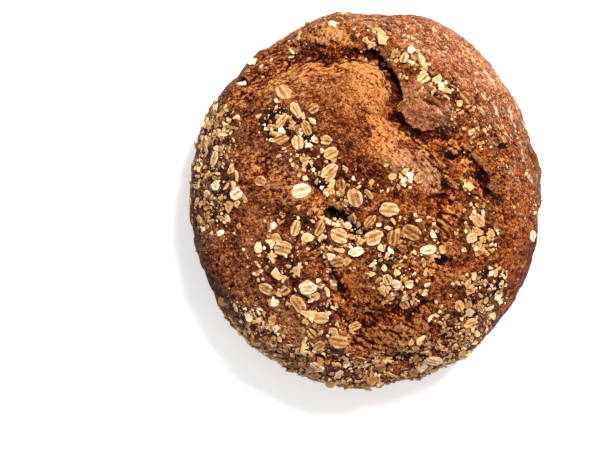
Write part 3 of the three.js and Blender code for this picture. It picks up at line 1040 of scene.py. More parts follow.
class Shader:
    """A material's node tree, built a step at a time.

    Args:
        name: the material's name.
    """

    def __init__(self, name: str) -> None:
        """Starts the material with one Principled shader."""
        self.material = bpy.data.materials.new(name)
        self.material.use_nodes = True
        self.tree = self.material.node_tree
        self.principled = next(n for n in self.tree.nodes if n.type == "BSDF_PRINCIPLED")
        self.place = self.tree.nodes.new("ShaderNodeTexCoord").outputs["Object"]

    def _put(self, socket: bpy.types.NodeSocket, value: object) -> None:
        """Links or sets an input.

        Args:
            socket: the input.
            value: an output to link, or a value to set.
        """
        if isinstance(value, bpy.types.NodeSocket):
            self.tree.links.new(value, socket)
        else:
            socket.default_value = value

    def layer(self, mask: str) -> bpy.types.NodeSocket:
        """The value of one of the mesh's named layers.

        Args:
            mask: the layer's name.

        Returns:
            Its value.
        """
        node = self.tree.nodes.new("ShaderNodeAttribute")
        node.attribute_name = mask
        return node.outputs["Fac"]

    def noise(
        self, size: float, detail: float = 3.0, rough: float = 0.55, angle: float = 0.0, drawn: float = 1.0
    ) -> bpy.types.NodeSocket:
        """Noise fixed to the piece.

        Args:
            size: size of a feature in metres.
            detail: how many finer layers.
            rough: how strong the finer layers are.
            angle: the way the pattern is drawn out, in radians from the width's axis.
            drawn: how many times longer a feature is that way.

        Returns:
            Its value, around 0.5.
        """
        mapping = self.tree.nodes.new("ShaderNodeMapping")
        mapping.vector_type = "TEXTURE"
        mapping.inputs["Rotation"].default_value = (0.0, 0.0, angle)
        mapping.inputs["Scale"].default_value = (drawn, 1.0, 1.0)
        self.tree.links.new(self.place, mapping.inputs["Vector"])
        node = self.tree.nodes.new("ShaderNodeTexNoise")
        self.tree.links.new(mapping.outputs["Vector"], node.inputs["Vector"])
        node.inputs["Scale"].default_value = 1 / size
        node.inputs["Detail"].default_value = detail
        node.inputs["Roughness"].default_value = rough
        return node.outputs["Fac"]

    def fissures(self, slant: bpy.types.NodeSocket) -> bpy.types.NodeSocket:
        """Thin cracks drawn out along the fibres.

        Args:
            slant: where the fibres slope.

        Returns:
            1 in a crack, 0 between cracks.
        """
        lines = []
        for angle in (-0.62, 0.08):
            wave = self.math("SUBTRACT", self.noise(3.2 * MM, 3, 0.6, angle, 2.2), 0.5)
            lines.append(self.ease(self.math("ABSOLUTE", wave), 0.035, 0.006))
        gap = self.math("SUBTRACT", lines[0], lines[1])
        return self.math("ADD", lines[1], self.math("MULTIPLY", gap, slant))

    def math(self, kind: str, a: object, b: object = 0.0, clamp: bool = False) -> bpy.types.NodeSocket:
        """One sum.

        Args:
            kind: the Math node's operation.
            a: its first value.
            b: its second value.
            clamp: whether the result stays from 0 to 1.

        Returns:
            The result.
        """
        node = self.tree.nodes.new("ShaderNodeMath")
        node.operation = kind
        node.use_clamp = clamp
        self._put(node.inputs[0], a)
        self._put(node.inputs[1], b)
        return node.outputs[0]

    def ease(self, value: object, low: float, high: float, start: float = 0.0, end: float = 1.0):
        """Eases a value from one range to another.

        Args:
            value: what is eased.
            low: where the result is start.
            high: where the result is end.
            start: the first result.
            end: the last result.

        Returns:
            The result.
        """
        node = self.tree.nodes.new("ShaderNodeMapRange")
        node.interpolation_type = "SMOOTHSTEP"
        for socket, number in zip(node.inputs, (value, low, high, start, end)):
            self._put(socket, number)
        return node.outputs["Result"]

    def mix(self, share: object, a: object, b: object, kind: str = "MIX") -> bpy.types.NodeSocket:
        """Mixes two colours.

        Args:
            share: how much of the second.
            a: the first colour.
            b: the second colour.
            kind: the way they mix.

        Returns:
            The mixed colour.
        """
        node = self.tree.nodes.new("ShaderNodeMix")
        node.data_type = "RGBA"
        node.blend_type = kind
        self._put(node.inputs[0], share)
        self._put(node.inputs[6], a)
        self._put(node.inputs[7], b)
        return node.outputs[2]

    def ramp(self, value: object, stops: tuple[tuple[float, str], ...]) -> bpy.types.NodeSocket:
        """Colours along a value.

        Args:
            value: what picks the colour.
            stops: places and their display colours.

        Returns:
            The colour.
        """
        node = self.tree.nodes.new("ShaderNodeValToRGB")
        elements = node.color_ramp.elements
        while len(elements) < len(stops):
            elements.new(0.5)
        for element, (place, code) in zip(elements, stops):
            element.position = place
            element.color = colour(code)
        self._put(node.inputs["Fac"], value)
        return node.outputs["Color"]

    def finish(
        self, base: object, roughness: object, height: object, depth: float, strength: float
    ) -> bpy.types.Material:
        """Joins the colour, roughness and fine relief to the shader.

        Args:
            base: the colour.
            roughness: the roughness.
            height: the fine relief.
            depth: the relief's depth in metres.
            strength: how strongly it shows.

        Returns:
            The material.
        """
        bump = self.tree.nodes.new("ShaderNodeBump")
        bump.inputs["Strength"].default_value = strength
        bump.inputs["Distance"].default_value = depth
        self._put(bump.inputs["Height"], height)
        self._put(self.principled.inputs["Base Color"], base)
        self._put(self.principled.inputs["Roughness"], roughness)
        self.tree.links.new(bump.outputs["Normal"], self.principled.inputs["Normal"])
        return self.material


@dataclass(frozen=True)
class CrustFinish:
    """The baked crust: brown and half glossy where it stayed whole, orange and matt where it tore."""

    whole: tuple[tuple[float, str], ...] = (
        (0.0, "1c0300"),
        (0.2, "491402"),
        (0.4, "722c06"),
        (0.6, "944610"),
        (0.8, "b56228"),
        (1.0, "d38a48"),
    )
    ripped: tuple[tuple[float, str], ...] = (
        (0.0, "200200"),
        (0.2, "531302"),
        (0.4, "8a3407"),
        (0.6, "b45514"),
        (0.8, "d17b34"),
        (1.0, "e3a862"),
    )
    swollen: tuple[tuple[float, str], ...] = (
        (0.0, "481304"),
        (0.25, "8c4219"),
        (0.55, "c36b2f"),
        (1.0, "f0a45e"),
    )
    # Painted sheen: purple-grey colours standing for the light's reflection on the crust.
    sheen_colours: tuple[tuple[float, str], ...] = (
        (0.0, "371108"),
        (0.3, "743925"),
        (0.6, "a86749"),
        (1.0, "dda481"),
    )

    def make(self) -> bpy.types.Material:
        """The crust's material."""
        s = Shader("baked_crust")
        cavity = s.layer(Mask.CAVITY.value)
        slant = s.layer(Mask.SLANT.value)
        grain = s.noise(0.6 * MM, 3, 0.7)
        sloping = s.noise(1.1 * MM, 4, 0.7, -0.62, 2.8)
        level = s.noise(1.1 * MM, 4, 0.7, 0.08, 2.8)
        level = s.math("MULTIPLY", s.math("SUBTRACT", 1.0, slant), level)
        fibre = s.math("ADD", s.math("MULTIPLY", slant, sloping), level)
        pores = s.ease(s.noise(1.4 * MM, 3, 0.6), 0.4, 0.31)
        swings = (
            (s.noise(30 * MM, 2), 0.7),
            (s.noise(7 * MM, 2, 0.5), 0.3),
            (fibre, 2.0),
            (s.noise(1.5 * MM, 4, 0.7), 2.3),
            (grain, 2.4),
        )
        mauve = s.layer(Mask.MAUVE.value)
        glow = s.layer(Mask.GLOW.value)
        torn = s.ease(s.layer(Mask.TORN.value), 0.15, 0.75)
        # Painted shade in hollows and painted highlight on ridges: the tone falls as the hollow mask rises,
        # more so where the crust tore.
        tone = s.math("MULTIPLY", s.math("SUBTRACT", 0.5, cavity), s.ease(torn, 0, 1, 0.95, 1.3))
        for noise, swing in swings:
            tone = s.math("ADD", tone, s.math("MULTIPLY", s.math("SUBTRACT", noise, 0.5), swing))
        # Painted shade in pores and thin cracks: they darken the tone.
        cracks = s.math("MULTIPLY", s.fissures(slant), s.ease(s.noise(9 * MM, 2), 0.42, 0.56))
        tone = s.math("SUBTRACT", tone, s.math("MULTIPLY", s.math("ADD", pores, cracks), 0.28))
        # Painted sheen: the tone is evened out and lifted where the sheen mask is high.
        tone = s.math("MULTIPLY", tone, s.ease(mauve, 0.1, 0.9, 1.0, 0.75))
        calm = s.layer(Mask.CALM.value)
        tone = s.math("MULTIPLY", tone, s.ease(calm, 0.0, 1.0, 1.0, 0.7))
        # Painted highlight on the swollen crust and painted sheen lift the tone; torn crust is lifted a little
        # and smooth crust lowered.
        lift = s.math("ADD", s.math("MULTIPLY", glow, 0.22), s.math("MULTIPLY", mauve, 0.19))
        lift = s.math("ADD", lift, s.math("MULTIPLY", torn, 0.05))
        lift = s.math("SUBTRACT", lift, s.math("MULTIPLY", calm, 0.07))
        tone = s.math("ADD", s.math("ADD", tone, lift), 0.44, clamp=True)
        base = s.mix(torn, s.ramp(tone, self.whole), s.ramp(tone, self.ripped))
        # The swollen dough's lighter orange, which also serves as a painted highlight.
        base = s.mix(s.ease(glow, 0.05, 0.95, 0, 0.9), base, s.ramp(tone, self.swollen))
        # Painted sheen in random patches, kept off torn, swollen and sloping crust, and full over the sheen
        # mask.
        sheen_patches = s.ease(s.noise(5 * MM, 4, 0.7), 0.47, 0.62, 0.0, 0.55)
        sheen_patches = s.math("MULTIPLY", sheen_patches, s.ease(s.math("ADD", torn, glow), 0.2, 1.2, 1.0, 0.3))
        sheen_patches = s.math("MULTIPLY", sheen_patches, s.ease(slant, 0, 1, 1.0, 0.3))
        sheen_patches = s.math("MAXIMUM", sheen_patches, s.math("MULTIPLY", mauve, 0.75))
        base = s.mix(sheen_patches, base, s.ramp(tone, self.sheen_colours))
        # Burnt crust and painted shade: the colour is multiplied darker where the char-and-shade mask is high.
        char = s.math("MULTIPLY", s.layer(Mask.CHAR.value), 0.95)
        base = s.mix(char, base, colour("885835"), "MULTIPLY")
        # Painted shade on the crust between thick oats.
        base = s.mix(s.ease(s.layer(Mask.OATS.value), 0.3, 0.9, 0.0, 0.85), base, colour("5a3d24"), "MULTIPLY")
        flour = s.layer(Mask.FLOUR.value)
        streaks = s.ease(s.noise(2.2 * MM, 3, 0.7, -0.95, 4.0), 0.56, 0.63)
        dust = s.math("MULTIPLY", streaks, s.ease(flour, 0.1, 0.8, 0.0, 0.8))
        base = s.mix(dust, base, colour("e0bd8c"))
        flecks = s.ease(s.noise(1.7 * MM, 2, 0.5, -0.8, 1.5), 0.62, 0.68)
        flecks = s.math("MULTIPLY", flecks, s.ease(flour, 0.1, 0.6, 0.0, 0.85))
        base = s.mix(flecks, base, colour("d99b4a"))
        base = s.mix(s.math("MULTIPLY", s.layer(Mask.LINES.value), 0.85), base, colour("f0d8b4"))
        gloss = s.math("ADD", s.ease(torn, 0, 1, 0.5, 0.85), s.math("MULTIPLY", grain, 0.2))
        relief = s.math("ADD", grain, s.math("MULTIPLY", s.noise(2.0 * MM, 3, 0.6), 1.2))
        relief = s.math("ADD", relief, s.math("MULTIPLY", fibre, 1.8))
        relief = s.math("SUBTRACT", relief, s.math("ADD", pores, cracks))
        relief = s.math("MULTIPLY", relief, s.ease(calm, 0.0, 1.0, 1.0, 0.5))
        s.principled.inputs["Specular IOR Level"].default_value = 0.09
        return s.finish(base, gloss, relief, 1.1 * MM, 1.0)


@dataclass(frozen=True)
class OatFinish:
    """Rolled oats: toasted tan in the middle, floury at the rim.

    Args:
        name: the material's name.
        deep: the colour of creases and toasted spots.
        body: the colour of the flake.
        pale: the colour of thin places.
        top: the colour of floury rims.
    """

    name: str
    deep: str = "6e3d17"
    body: str = "b58048"
    pale: str = "dfb584"
    top: str = "fdecd0"

    def make(self) -> bpy.types.Material:
        """The oats' material."""
        s = Shader(self.name)
        shade, rim = s.layer("shade"), s.layer("rim")
        patchy, grain = s.noise(1.8 * MM, 4, 0.6), s.noise(0.5 * MM, 3, 0.6)
        tone = s.math("ADD", s.math("MULTIPLY", shade, 0.75), s.math("MULTIPLY", patchy, 1.0))
        tone = s.math("ADD", tone, s.math("MULTIPLY", s.math("SUBTRACT", grain, 0.5), 1.1))
        tone = s.math("ADD", tone, s.math("MULTIPLY", s.math("SUBTRACT", rim, 0.5), 0.85))
        tone = s.math("SUBTRACT", tone, 0.44, clamp=True)
        base = s.ramp(tone, ((0.0, self.deep), (0.36, self.body), (0.72, self.pale), (1.0, self.top)))
        # Painted shade, with the crust's burning: oats lying on strongly darkened crust are multiplied darker.
        char = s.ease(s.layer(Mask.CHAR.value), 0.62, 1.0, 0.0, 0.75)
        base = s.mix(char, base, colour("a0703f"), "MULTIPLY")
        s.principled.inputs["Specular IOR Level"].default_value = 0.15
        relief = s.math("ADD", grain, s.math("MULTIPLY", patchy, 2.0))
        return s.finish(base, s.ease(grain, 0.2, 0.8, 0.7, 0.9), relief, 0.35 * MM, 0.9)


# ---------------------------------------------------------------------------------------------
# Pieces
# ---------------------------------------------------------------------------------------------


def settle(piece: bpy.types.Object, slot: Slot, *nodes: str) -> None:
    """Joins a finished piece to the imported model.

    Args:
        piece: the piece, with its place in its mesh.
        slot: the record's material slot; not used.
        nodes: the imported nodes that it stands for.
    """
    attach(piece, ROOT_BODY)
    if nodes:
        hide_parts(*nodes)
    LOG.info("%s: %d faces, stands for %d nodes", piece.name, len(piece.data.polygons), len(nodes))


def add_object(name: str, mesh: bpy.types.Mesh) -> bpy.types.Object:
    """Puts a mesh in the scene at the origin.

    Args:
        name: the object's name.
        mesh: its mesh.

    Returns:
        The object.
    """
    piece = bpy.data.objects.new(name, mesh)
    bpy.context.scene.collection.objects.link(piece)
    return piece


def add_layer(mesh: bpy.types.Mesh, name: str, values: np.ndarray) -> None:
    """Gives a mesh a named value at each point.

    Args:
        mesh: the mesh.
        name: the layer's name.
        values: one value for each point.
    """
    layer = mesh.attributes.new(name, "FLOAT", "POINT")
    layer.data.foreach_set("value", np.asarray(values, np.float32))


@dataclass(frozen=True)
class FlakeSeat:
    """Where one whole flake lies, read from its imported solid.

    Args:
        node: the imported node.
        middle: its middle.
        axes: its length, width and upward ways, one a row.
        half_length: half its length.
        half_width: half its width.
    """

    node: str
    middle: np.ndarray
    axes: np.ndarray
    half_length: float
    half_width: float

    @classmethod
    def read(cls, node: bpy.types.Object) -> "FlakeSeat":
        """Finds the way a packed flake lies from the spread of its points.

        Args:
            node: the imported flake.

        Returns:
            Its seat.
        """
        spots = {tuple(round(number, 6) for number in vertex.co) for vertex in node.data.vertices}
        points = np.array(sorted(spots))
        middle = (points.max(0) + points.min(0)) / 2
        spread = points - points.mean(0)
        axes = np.linalg.svd(spread, full_matrices=False)[2]
        if axes[2, 2] < 0:
            axes[2] *= -1
        axes[1] = np.cross(axes[2], axes[0])
        local = (points - middle) @ axes.T
        half = (local.max(0) - local.min(0)) / 2
        centre = middle + ((local.max(0) + local.min(0)) / 2) @ axes
        return cls(node.name, centre, axes, half[0], half[1])

    def local(self, points: np.ndarray) -> np.ndarray:
        """Points in the flake's own frame.

        Args:
            points: points in the part's frame.

        Returns:
            Along, across and up from the flake's middle.
        """
        return (points - self.middle) @ self.axes.T


@dataclass
class WholeFlakes:
    """The whole rolled oats: crowned ovals with a crease, each on its packed flake's seat.

    Args:
        seats: where they lie.
        thickness: of a flake in its middle.
        turns: points round a flake.
        crease: how deep the groat's crease is.
        seed: picks how each one is warped.
    """

    seats: list[FlakeSeat]
    thickness: float = 1.1 * MM
    turns: int = 32
    crease: float = 0.38 * MM
    seed: int = 5

    # Each ring: its radius, its height as a share of the thickness, and how pale it is.
    rings: tuple[tuple[float, float, float], ...] = (
        (0.2, 0.46, 0.42),
        (0.42, 0.5, 0.45),
        (0.62, 0.46, 0.5),
        (0.8, 0.38, 0.54),
        (0.93, 0.3, 0.66),
        (1.0, 0.12, 0.8),
        (0.96, -0.35, 0.7),
        (0.6, -0.45, 0.4),
    )

    def _outline(self, draw: np.random.Generator) -> np.ndarray:
        """How far a flake reaches at each turn: ragged, split at one end, sometimes broken off.

        Args:
            draw: random numbers.

        Returns:
            Shares of its oval.
        """
        turn = np.arange(self.turns) / self.turns * 2 * math.pi
        reach = np.ones(self.turns)
        for wave, size in ((2, 0.03), (3, 0.05), (5, 0.035), (8, 0.03)):
            reach += size * draw.normal() * np.sin(wave * turn + draw.uniform(0, 6))
        reach += draw.normal(0, 0.03, self.turns)
        split = np.abs((turn - draw.choice([0, math.pi]) + math.pi) % (2 * math.pi) - math.pi)
        reach -= draw.uniform(0.0, 0.3) * np.exp(-((split / 0.16) ** 2))
        broken, way = draw.uniform(0.55, 1.3), draw.uniform(0, 2 * math.pi)
        edge = broken / np.maximum(np.cos(turn - way), 0.05)
        return np.clip(np.minimum(reach, edge), 0.3, 1.04)

    def _flake(self, seat: FlakeSeat, draw: np.random.Generator) -> tuple[np.ndarray, np.ndarray]:
        """One flake's points.

        Args:
            seat: where it lies.
            draw: random numbers.

        Returns:
            Its points, and how pale each one is.
        """
        turn = np.arange(self.turns) / self.turns * 2 * math.pi
        reach = self._outline(draw)
        curl, twist, cup = draw.normal(0, 0.3, 3) * MM
        ridges, phase = draw.uniform(2.2, 3.4), draw.uniform(0, 6)
        aside, crease = draw.normal(0, 0.16), self.crease * draw.uniform(0.25, 1.0)
        rows, pale = [], []
        for radius, height, paleness in ((0.0, 0.46, 0.4), *self.rings, (0.0, -0.45, 0.5)):
            count = 1 if radius == 0 else self.turns
            x = radius * np.cos(turn[:count]) * reach[:count]
            y = radius * np.sin(turn[:count]) * reach[:count]
            z = np.full(count, height * self.thickness)
            if height > 0:
                away = (y - aside * (1 - x)) * seat.half_width
                groove = np.exp(-((away / (0.4 * MM)) ** 2)) * (1 - x**2) * crease
                ridge = np.sin(ridges * math.pi * y + phase + 1.2 * x)
                z += 0.09 * MM * ridge - groove
                z += draw.normal(0, 0.07 * MM, count)
                paleness = np.clip(paleness - groove / (0.7 * MM) + 0.26 * ridge, 0, 1)
            z += curl * (x**2 - 0.4) + twist * x * y + np.abs(cup) * (y**2 - 0.3)
            rows.append(np.stack([x * seat.half_length, y * seat.half_width, z], 1))
            pale.append(np.broadcast_to(paleness, count))
        return np.vstack(rows) @ seat.axes + seat.middle, np.concatenate(pale)

    def _faces(self) -> np.ndarray:
        """The triangles of one flake."""
        here = np.arange(self.turns)
        then = (here + 1) % self.turns
        first = 1
        blocks = [np.stack([np.zeros_like(here), first + here, first + then], 1)]
        for _ in range(len(self.rings) - 1):
            below = first + self.turns
            blocks.append(np.stack([first + here, below + here, below + then], 1))
            blocks.append(np.stack([first + here, below + then, first + then], 1))
            first = below
        blocks.append(np.stack([first + here, np.full_like(here, first + self.turns), first + then], 1))
        return np.vstack(blocks)

    def build(self, finish: bpy.types.Material) -> bpy.types.Object:
        """Makes all the flakes as one piece and joins it to the model.

        Args:
            finish: the oats' material.

        Returns:
            The piece.
        """
        draw = np.random.default_rng(self.seed)
        points, faces, pale, shade, first = [], [], [], [], 0
        for seat in self.seats:
            flake, paleness = self._flake(seat, draw)
            points.append(flake)
            pale.append(paleness)
            shade.append(np.full(len(flake), np.clip(draw.normal(0.5, 0.22), 0, 1)))
            faces.append(self._faces() + first)
            first += len(flake)
        mesh = bpy.data.meshes.new("whole_flakes")
        mesh.from_pydata(np.vstack(points).tolist(), [], np.vstack(faces).tolist())
        mesh.shade_smooth()
        mesh.set_sharp_from_angle(angle=0.6)
        add_layer(mesh, "rim", np.concatenate(pale))
        add_layer(mesh, "shade", np.concatenate(shade))
        mesh.materials.append(finish)
        piece = add_object("whole_flakes", mesh)
        settle(piece, Slot.OAT, *(seat.node for seat in self.seats))
        return piece


@dataclass
class Crust:
    """The loaf's crust, from its form to its finish.

    Args:
        form: the sculpted surface.
        seats: where the whole flakes are pressed in.
    """

    form: CrustForm
    seats: list[FlakeSeat]

    def _press_flakes_in(self) -> None:
        """Flattens the crust under each whole flake and clears the topping from it."""
        form = self.form
        for seat in self.seats:
            local = seat.local(form.points)
            ring = np.hypot(local[:, 0] / seat.half_length, local[:, 1] / seat.half_width)
            close = (ring < 2) & (np.abs(local[:, 2]) < 9 * MM)
            under = np.where(close, 1 - smoothstep(0.95, 1.6, ring), 0)
            shift = under * (-0.42 * MM - local[:, 2])
            form.points += shift[:, None] * seat.axes[2]
            covered = np.where(close, 1 - smoothstep(1.05, 1.3, ring), 0)
            form.masks[Mask.OATS] = form.masks[Mask.OATS] * (1 - covered)
            form.masks[Mask.DUST] = form.masks[Mask.DUST] * (1 - 0.9 * covered)

    def build(self, finish: bpy.types.Material) -> bpy.types.Object:
        """Sculpts and dresses the crust and joins it to the model.

        Args:
            finish: the crust's material.

        Returns:
            The piece.
        """
        form = self.form
        form.lay_rings()
        form.wrap(self._packed_solid())
        form.sculpt()
        self._press_flakes_in()
        form.find_cavities()
        clumps = smoothstep(-0.35, 0.25, Noise(80).fractal(form.points, 8 * MM, 3))
        oats = form.masks[Mask.OATS]
        form.masks[Mask.CRUMBS] = np.clip(oats * (0.1 + clumps), 0, 1) + 0.04 * form.masks[Mask.DUST]
        form.masks[Mask.OATS] = np.clip(oats * (0.25 + clumps), 0, 1)
        mesh = form.mesh("crust")
        lie = mesh.attributes.new("lie", "FLOAT_VECTOR", "POINT")
        lie.data.foreach_set("vector", form.smoothed(form.normals(), 12).astype(np.float32).ravel())
        mesh.materials.append(finish)
        piece = add_object("crust", mesh)
        settle(piece, Slot.CRUST, LOAF_NODE)
        return piece

    @staticmethod
    def _packed_solid() -> BVHTree:
        """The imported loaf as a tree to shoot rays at, its loose triangles joined first."""
        joined = bmesh.new()
        joined.from_mesh(bpy.data.objects[LOAF_NODE].data)
        bmesh.ops.remove_doubles(joined, verts=joined.verts, dist=0.01 * MM)
        tree = BVHTree.FromBMesh(joined)
        joined.free()
        return tree


@dataclass
class ScatterTree:
    """A Geometry Nodes tree that scatters small pieces over a surface.

    Args:
        name: the tree's name.
        mask: the surface layer that says how thick they lie.
    """

    name: str
    mask: str

    def _node(self, kind: str, **links: object) -> bpy.types.Node:
        """Adds a node.

        Args:
            kind: its type.
            links: outputs or values for its inputs, by the input's name with _ for a space.

        Returns:
            The node.
        """
        node = self.tree.nodes.new(kind)
        for name, value in links.items():
            self._join(node, name.replace("_", " "), value)
        return node

    def _join(self, node: bpy.types.Node, name: str, value: object) -> None:
        """Links or sets a node's input.

        Args:
            node: the node.
            name: the input's name.
            value: an output to link, or a value to set.
        """
        socket = next(s for s in node.inputs if s.name == name and s.enabled)
        if isinstance(value, bpy.types.NodeSocket):
            self.tree.links.new(value, socket)
        else:
            socket.default_value = value

    def _vector(self, x: object, y: object, z: object) -> bpy.types.NodeSocket:
        """Three values as one vector."""
        return self._node("ShaderNodeCombineXYZ", X=x, Y=y, Z=z).outputs[0]

    def _draw(self, low: object, high: object, seed: object) -> bpy.types.NodeSocket:
        """A random number for each scattered piece.

        Args:
            low: the least.
            high: the most.
            seed: picks the numbers.

        Returns:
            The number.
        """
        node = self.tree.nodes.new("FunctionNodeRandomValue")
        for name, value in (("Min", low), ("Max", high), ("Seed", seed)):
            self._join(node, name, value)
        return next(s for s in node.outputs if s.enabled)

    def make(self) -> bpy.types.NodeTree:
        """Builds the tree.

        Returns:
            The tree, with named inputs for its sizes.
        """
        self.tree = bpy.data.node_groups.new(self.name, "GeometryNodeTree")
        face = self.tree.interface
        face.new_socket("Geometry", in_out="OUTPUT", socket_type="NodeSocketGeometry")
        face.new_socket("Geometry", in_out="INPUT", socket_type="NodeSocketGeometry")
        for name in ("Density", "Spacing", "Smallest", "Largest", "Tilt"):
            face.new_socket(name, in_out="INPUT", socket_type="NodeSocketFloat")
        face.new_socket("Seed", in_out="INPUT", socket_type="NodeSocketInt")
        face.new_socket("Shapes", in_out="INPUT", socket_type="NodeSocketCollection")
        face.new_socket("Finish", in_out="INPUT", socket_type="NodeSocketMaterial")
        given = self.tree.nodes.new("NodeGroupInput").outputs
        seed = given["Seed"]
        mask = self._node("GeometryNodeInputNamedAttribute", Name=self.mask)
        spots = self.tree.nodes.new("GeometryNodeDistributePointsOnFaces")
        spots.distribute_method = "POISSON"
        self._join(spots, "Mesh", given["Geometry"])
        self._join(spots, "Distance Min", given["Spacing"])
        self._join(spots, "Density Max", given["Density"])
        self._join(spots, "Density Factor", mask.outputs["Attribute"])
        self._join(spots, "Seed", seed)
        placed = self._place(spots.outputs["Points"], given, seed)
        shade = self.tree.nodes.new("GeometryNodeStoreNamedAttribute")
        shade.domain = "INSTANCE"
        self._join(shade, "Geometry", placed)
        self._join(shade, "Name", "shade")
        self._join(shade, "Value", self._draw(0.0, 1.0, self._later(seed, 3)))
        real = self._node("GeometryNodeRealizeInstances", Geometry=shade.outputs["Geometry"])
        dressed = self._node("GeometryNodeSetMaterial", Geometry=real.outputs[0], Material=given["Finish"])
        out = self.tree.nodes.new("NodeGroupOutput")
        self.tree.links.new(dressed.outputs[0], out.inputs[0])
        return self.tree

    def _later(self, seed: bpy.types.NodeSocket, step: int) -> bpy.types.NodeSocket:
        """A seed a few steps on, so that one draw doesn't follow another."""
        node = self.tree.nodes.new("ShaderNodeMath")
        self.tree.links.new(seed, node.inputs[0])
        node.inputs[1].default_value = step
        return node.outputs[0]

    def _place(
        self, points: bpy.types.NodeSocket, given: object, seed: bpy.types.NodeSocket
    ) -> bpy.types.NodeSocket:
        """Puts a random shape on every point, turned and sized by chance.

        Args:
            points: the scattered points.
            given: the tree's inputs.
            seed: the tree's seed.

        Returns:
            The instances.
        """
        lie = self.tree.nodes.new("GeometryNodeInputNamedAttribute")
        lie.data_type = "FLOAT_VECTOR"
        lie.inputs["Name"].default_value = "lie"
        upright = self.tree.nodes.new("FunctionNodeAlignRotationToVector")
        upright.axis = "Z"
        self._join(upright, "Vector", next(s for s in lie.outputs if s.enabled))
        back = self._node("ShaderNodeMath")
        back.operation = "MULTIPLY"
        self.tree.links.new(given["Tilt"], back.inputs[0])
        back.inputs[1].default_value = -1.0
        lean = [self._draw(back.outputs[0], given["Tilt"], self._later(seed, 5 + i)) for i in range(2)]
        spin = self._draw(0.0, 2 * math.pi, self._later(seed, 9))
        euler = self._node("FunctionNodeEulerToRotation", Euler=self._vector(lean[0], lean[1], spin))
        turned = self.tree.nodes.new("FunctionNodeRotateRotation")
        turned.rotation_space = "LOCAL"
        self.tree.links.new(upright.outputs[0], turned.inputs[0])
        self.tree.links.new(euler.outputs[0], turned.inputs[1])
        shapes = self.tree.nodes.new("GeometryNodeCollectionInfo")
        self._join(shapes, "Collection", given["Shapes"])
        self._join(shapes, "Separate Children", True)
        placed = self.tree.nodes.new("GeometryNodeInstanceOnPoints")
        self._join(placed, "Points", points)
        self._join(placed, "Instance", shapes.outputs[0])
        self._join(placed, "Pick Instance", True)
        self._join(placed, "Rotation", turned.outputs[0])
        size = self._draw(0.0, 1.0, self._later(seed, 13))
        small = self.tree.nodes.new("ShaderNodeMath")
        small.operation = "POWER"
        self.tree.links.new(size, small.inputs[0])
        small.inputs[1].default_value = 1.7
        between = self.tree.nodes.new("ShaderNodeMapRange")
        for name, value in (
            ("Value", small.outputs[0]), ("To Min", given["Smallest"]), ("To Max", given["Largest"])
        ):
            self._join(between, name, value)
        self.tree.links.new(between.outputs["Result"], placed.inputs["Scale"])
        return placed.outputs[0]


class ShardKind(Enum):
    """The outlines that oats break into."""

    CHIP = "chip"
    SLIVER = "sliver"
    GRAIN = "grain"


@dataclass(frozen=True)
class Shards:
    """A handful of broken shapes, a metre across, to be scattered at their real size.

    Args:
        kind: their outline.
        count: how many different ones.
        corners: corners of each outline.
        thickness: as a share of the size.
        seed: picks the shapes.
    """

    kind: ShardKind
    count: int
    corners: int
    thickness: float
    seed: int

    def make(self) -> bpy.types.Collection:
        """Makes the shapes.

        Returns:
            A collection of them, linked to no scene.
        """
        draw = np.random.default_rng(self.seed)
        shapes = bpy.data.collections.new("shapes_" + self.kind.value)
        for number in range(self.count):
            mesh = self._shard(f"{self.kind.value}_{number}", draw)
            shapes.objects.link(bpy.data.objects.new(mesh.name, mesh))
        return shapes

    def _shard(self, name: str, draw: np.random.Generator) -> bpy.types.Mesh:
        """One closed shard with a crowned top.

        Args:
            name: its name.
            draw: random numbers.

        Returns:
            Its mesh.
        """
        count = self.corners
        turn = (np.arange(count) + draw.uniform(-0.3, 0.3, count)) / count * 2 * math.pi
        radius = 0.5 * draw.uniform(0.78, 1.1, count)
        squeeze = {ShardKind.CHIP: 0.74, ShardKind.SLIVER: 0.42, ShardKind.GRAIN: 0.85}[self.kind]
        x, y = radius * np.cos(turn), radius * np.sin(turn) * squeeze
        if self.kind is ShardKind.CHIP:
            x = np.minimum(x, draw.uniform(-0.02, 0.4) + y * draw.uniform(-0.8, 0.8))
            x -= x.mean()
        high, low = 0.34 * self.thickness, -0.45 * self.thickness
        edge = high + draw.uniform(-0.25, 0.25, count) * self.thickness
        top = [[draw.normal(0, 0.06), draw.normal(0, 0.04), 0.48 * self.thickness]]
        rim = np.stack([x, y, edge], 1).tolist()
        foot = np.stack([x * 0.9, y * 0.9, np.full(count, low)], 1).tolist()
        faces = []
        for i in range(count):
            j = (i + 1) % count
            faces += [(0, 1 + i, 1 + j), (1 + i, 1 + count + i, 1 + count + j), (1 + i, 1 + count + j, 1 + j)]
        faces.append(tuple(1 + count + i for i in reversed(range(count))))
        mesh = bpy.data.meshes.new(name)
        mesh.from_pydata(top + rim + foot, [], faces)
        pale = [draw.uniform(0.2, 0.6)] + draw.uniform(0.5, 1.0, count).tolist() + [0.5] * count
        add_layer(mesh, "rim", np.array(pale))
        return mesh


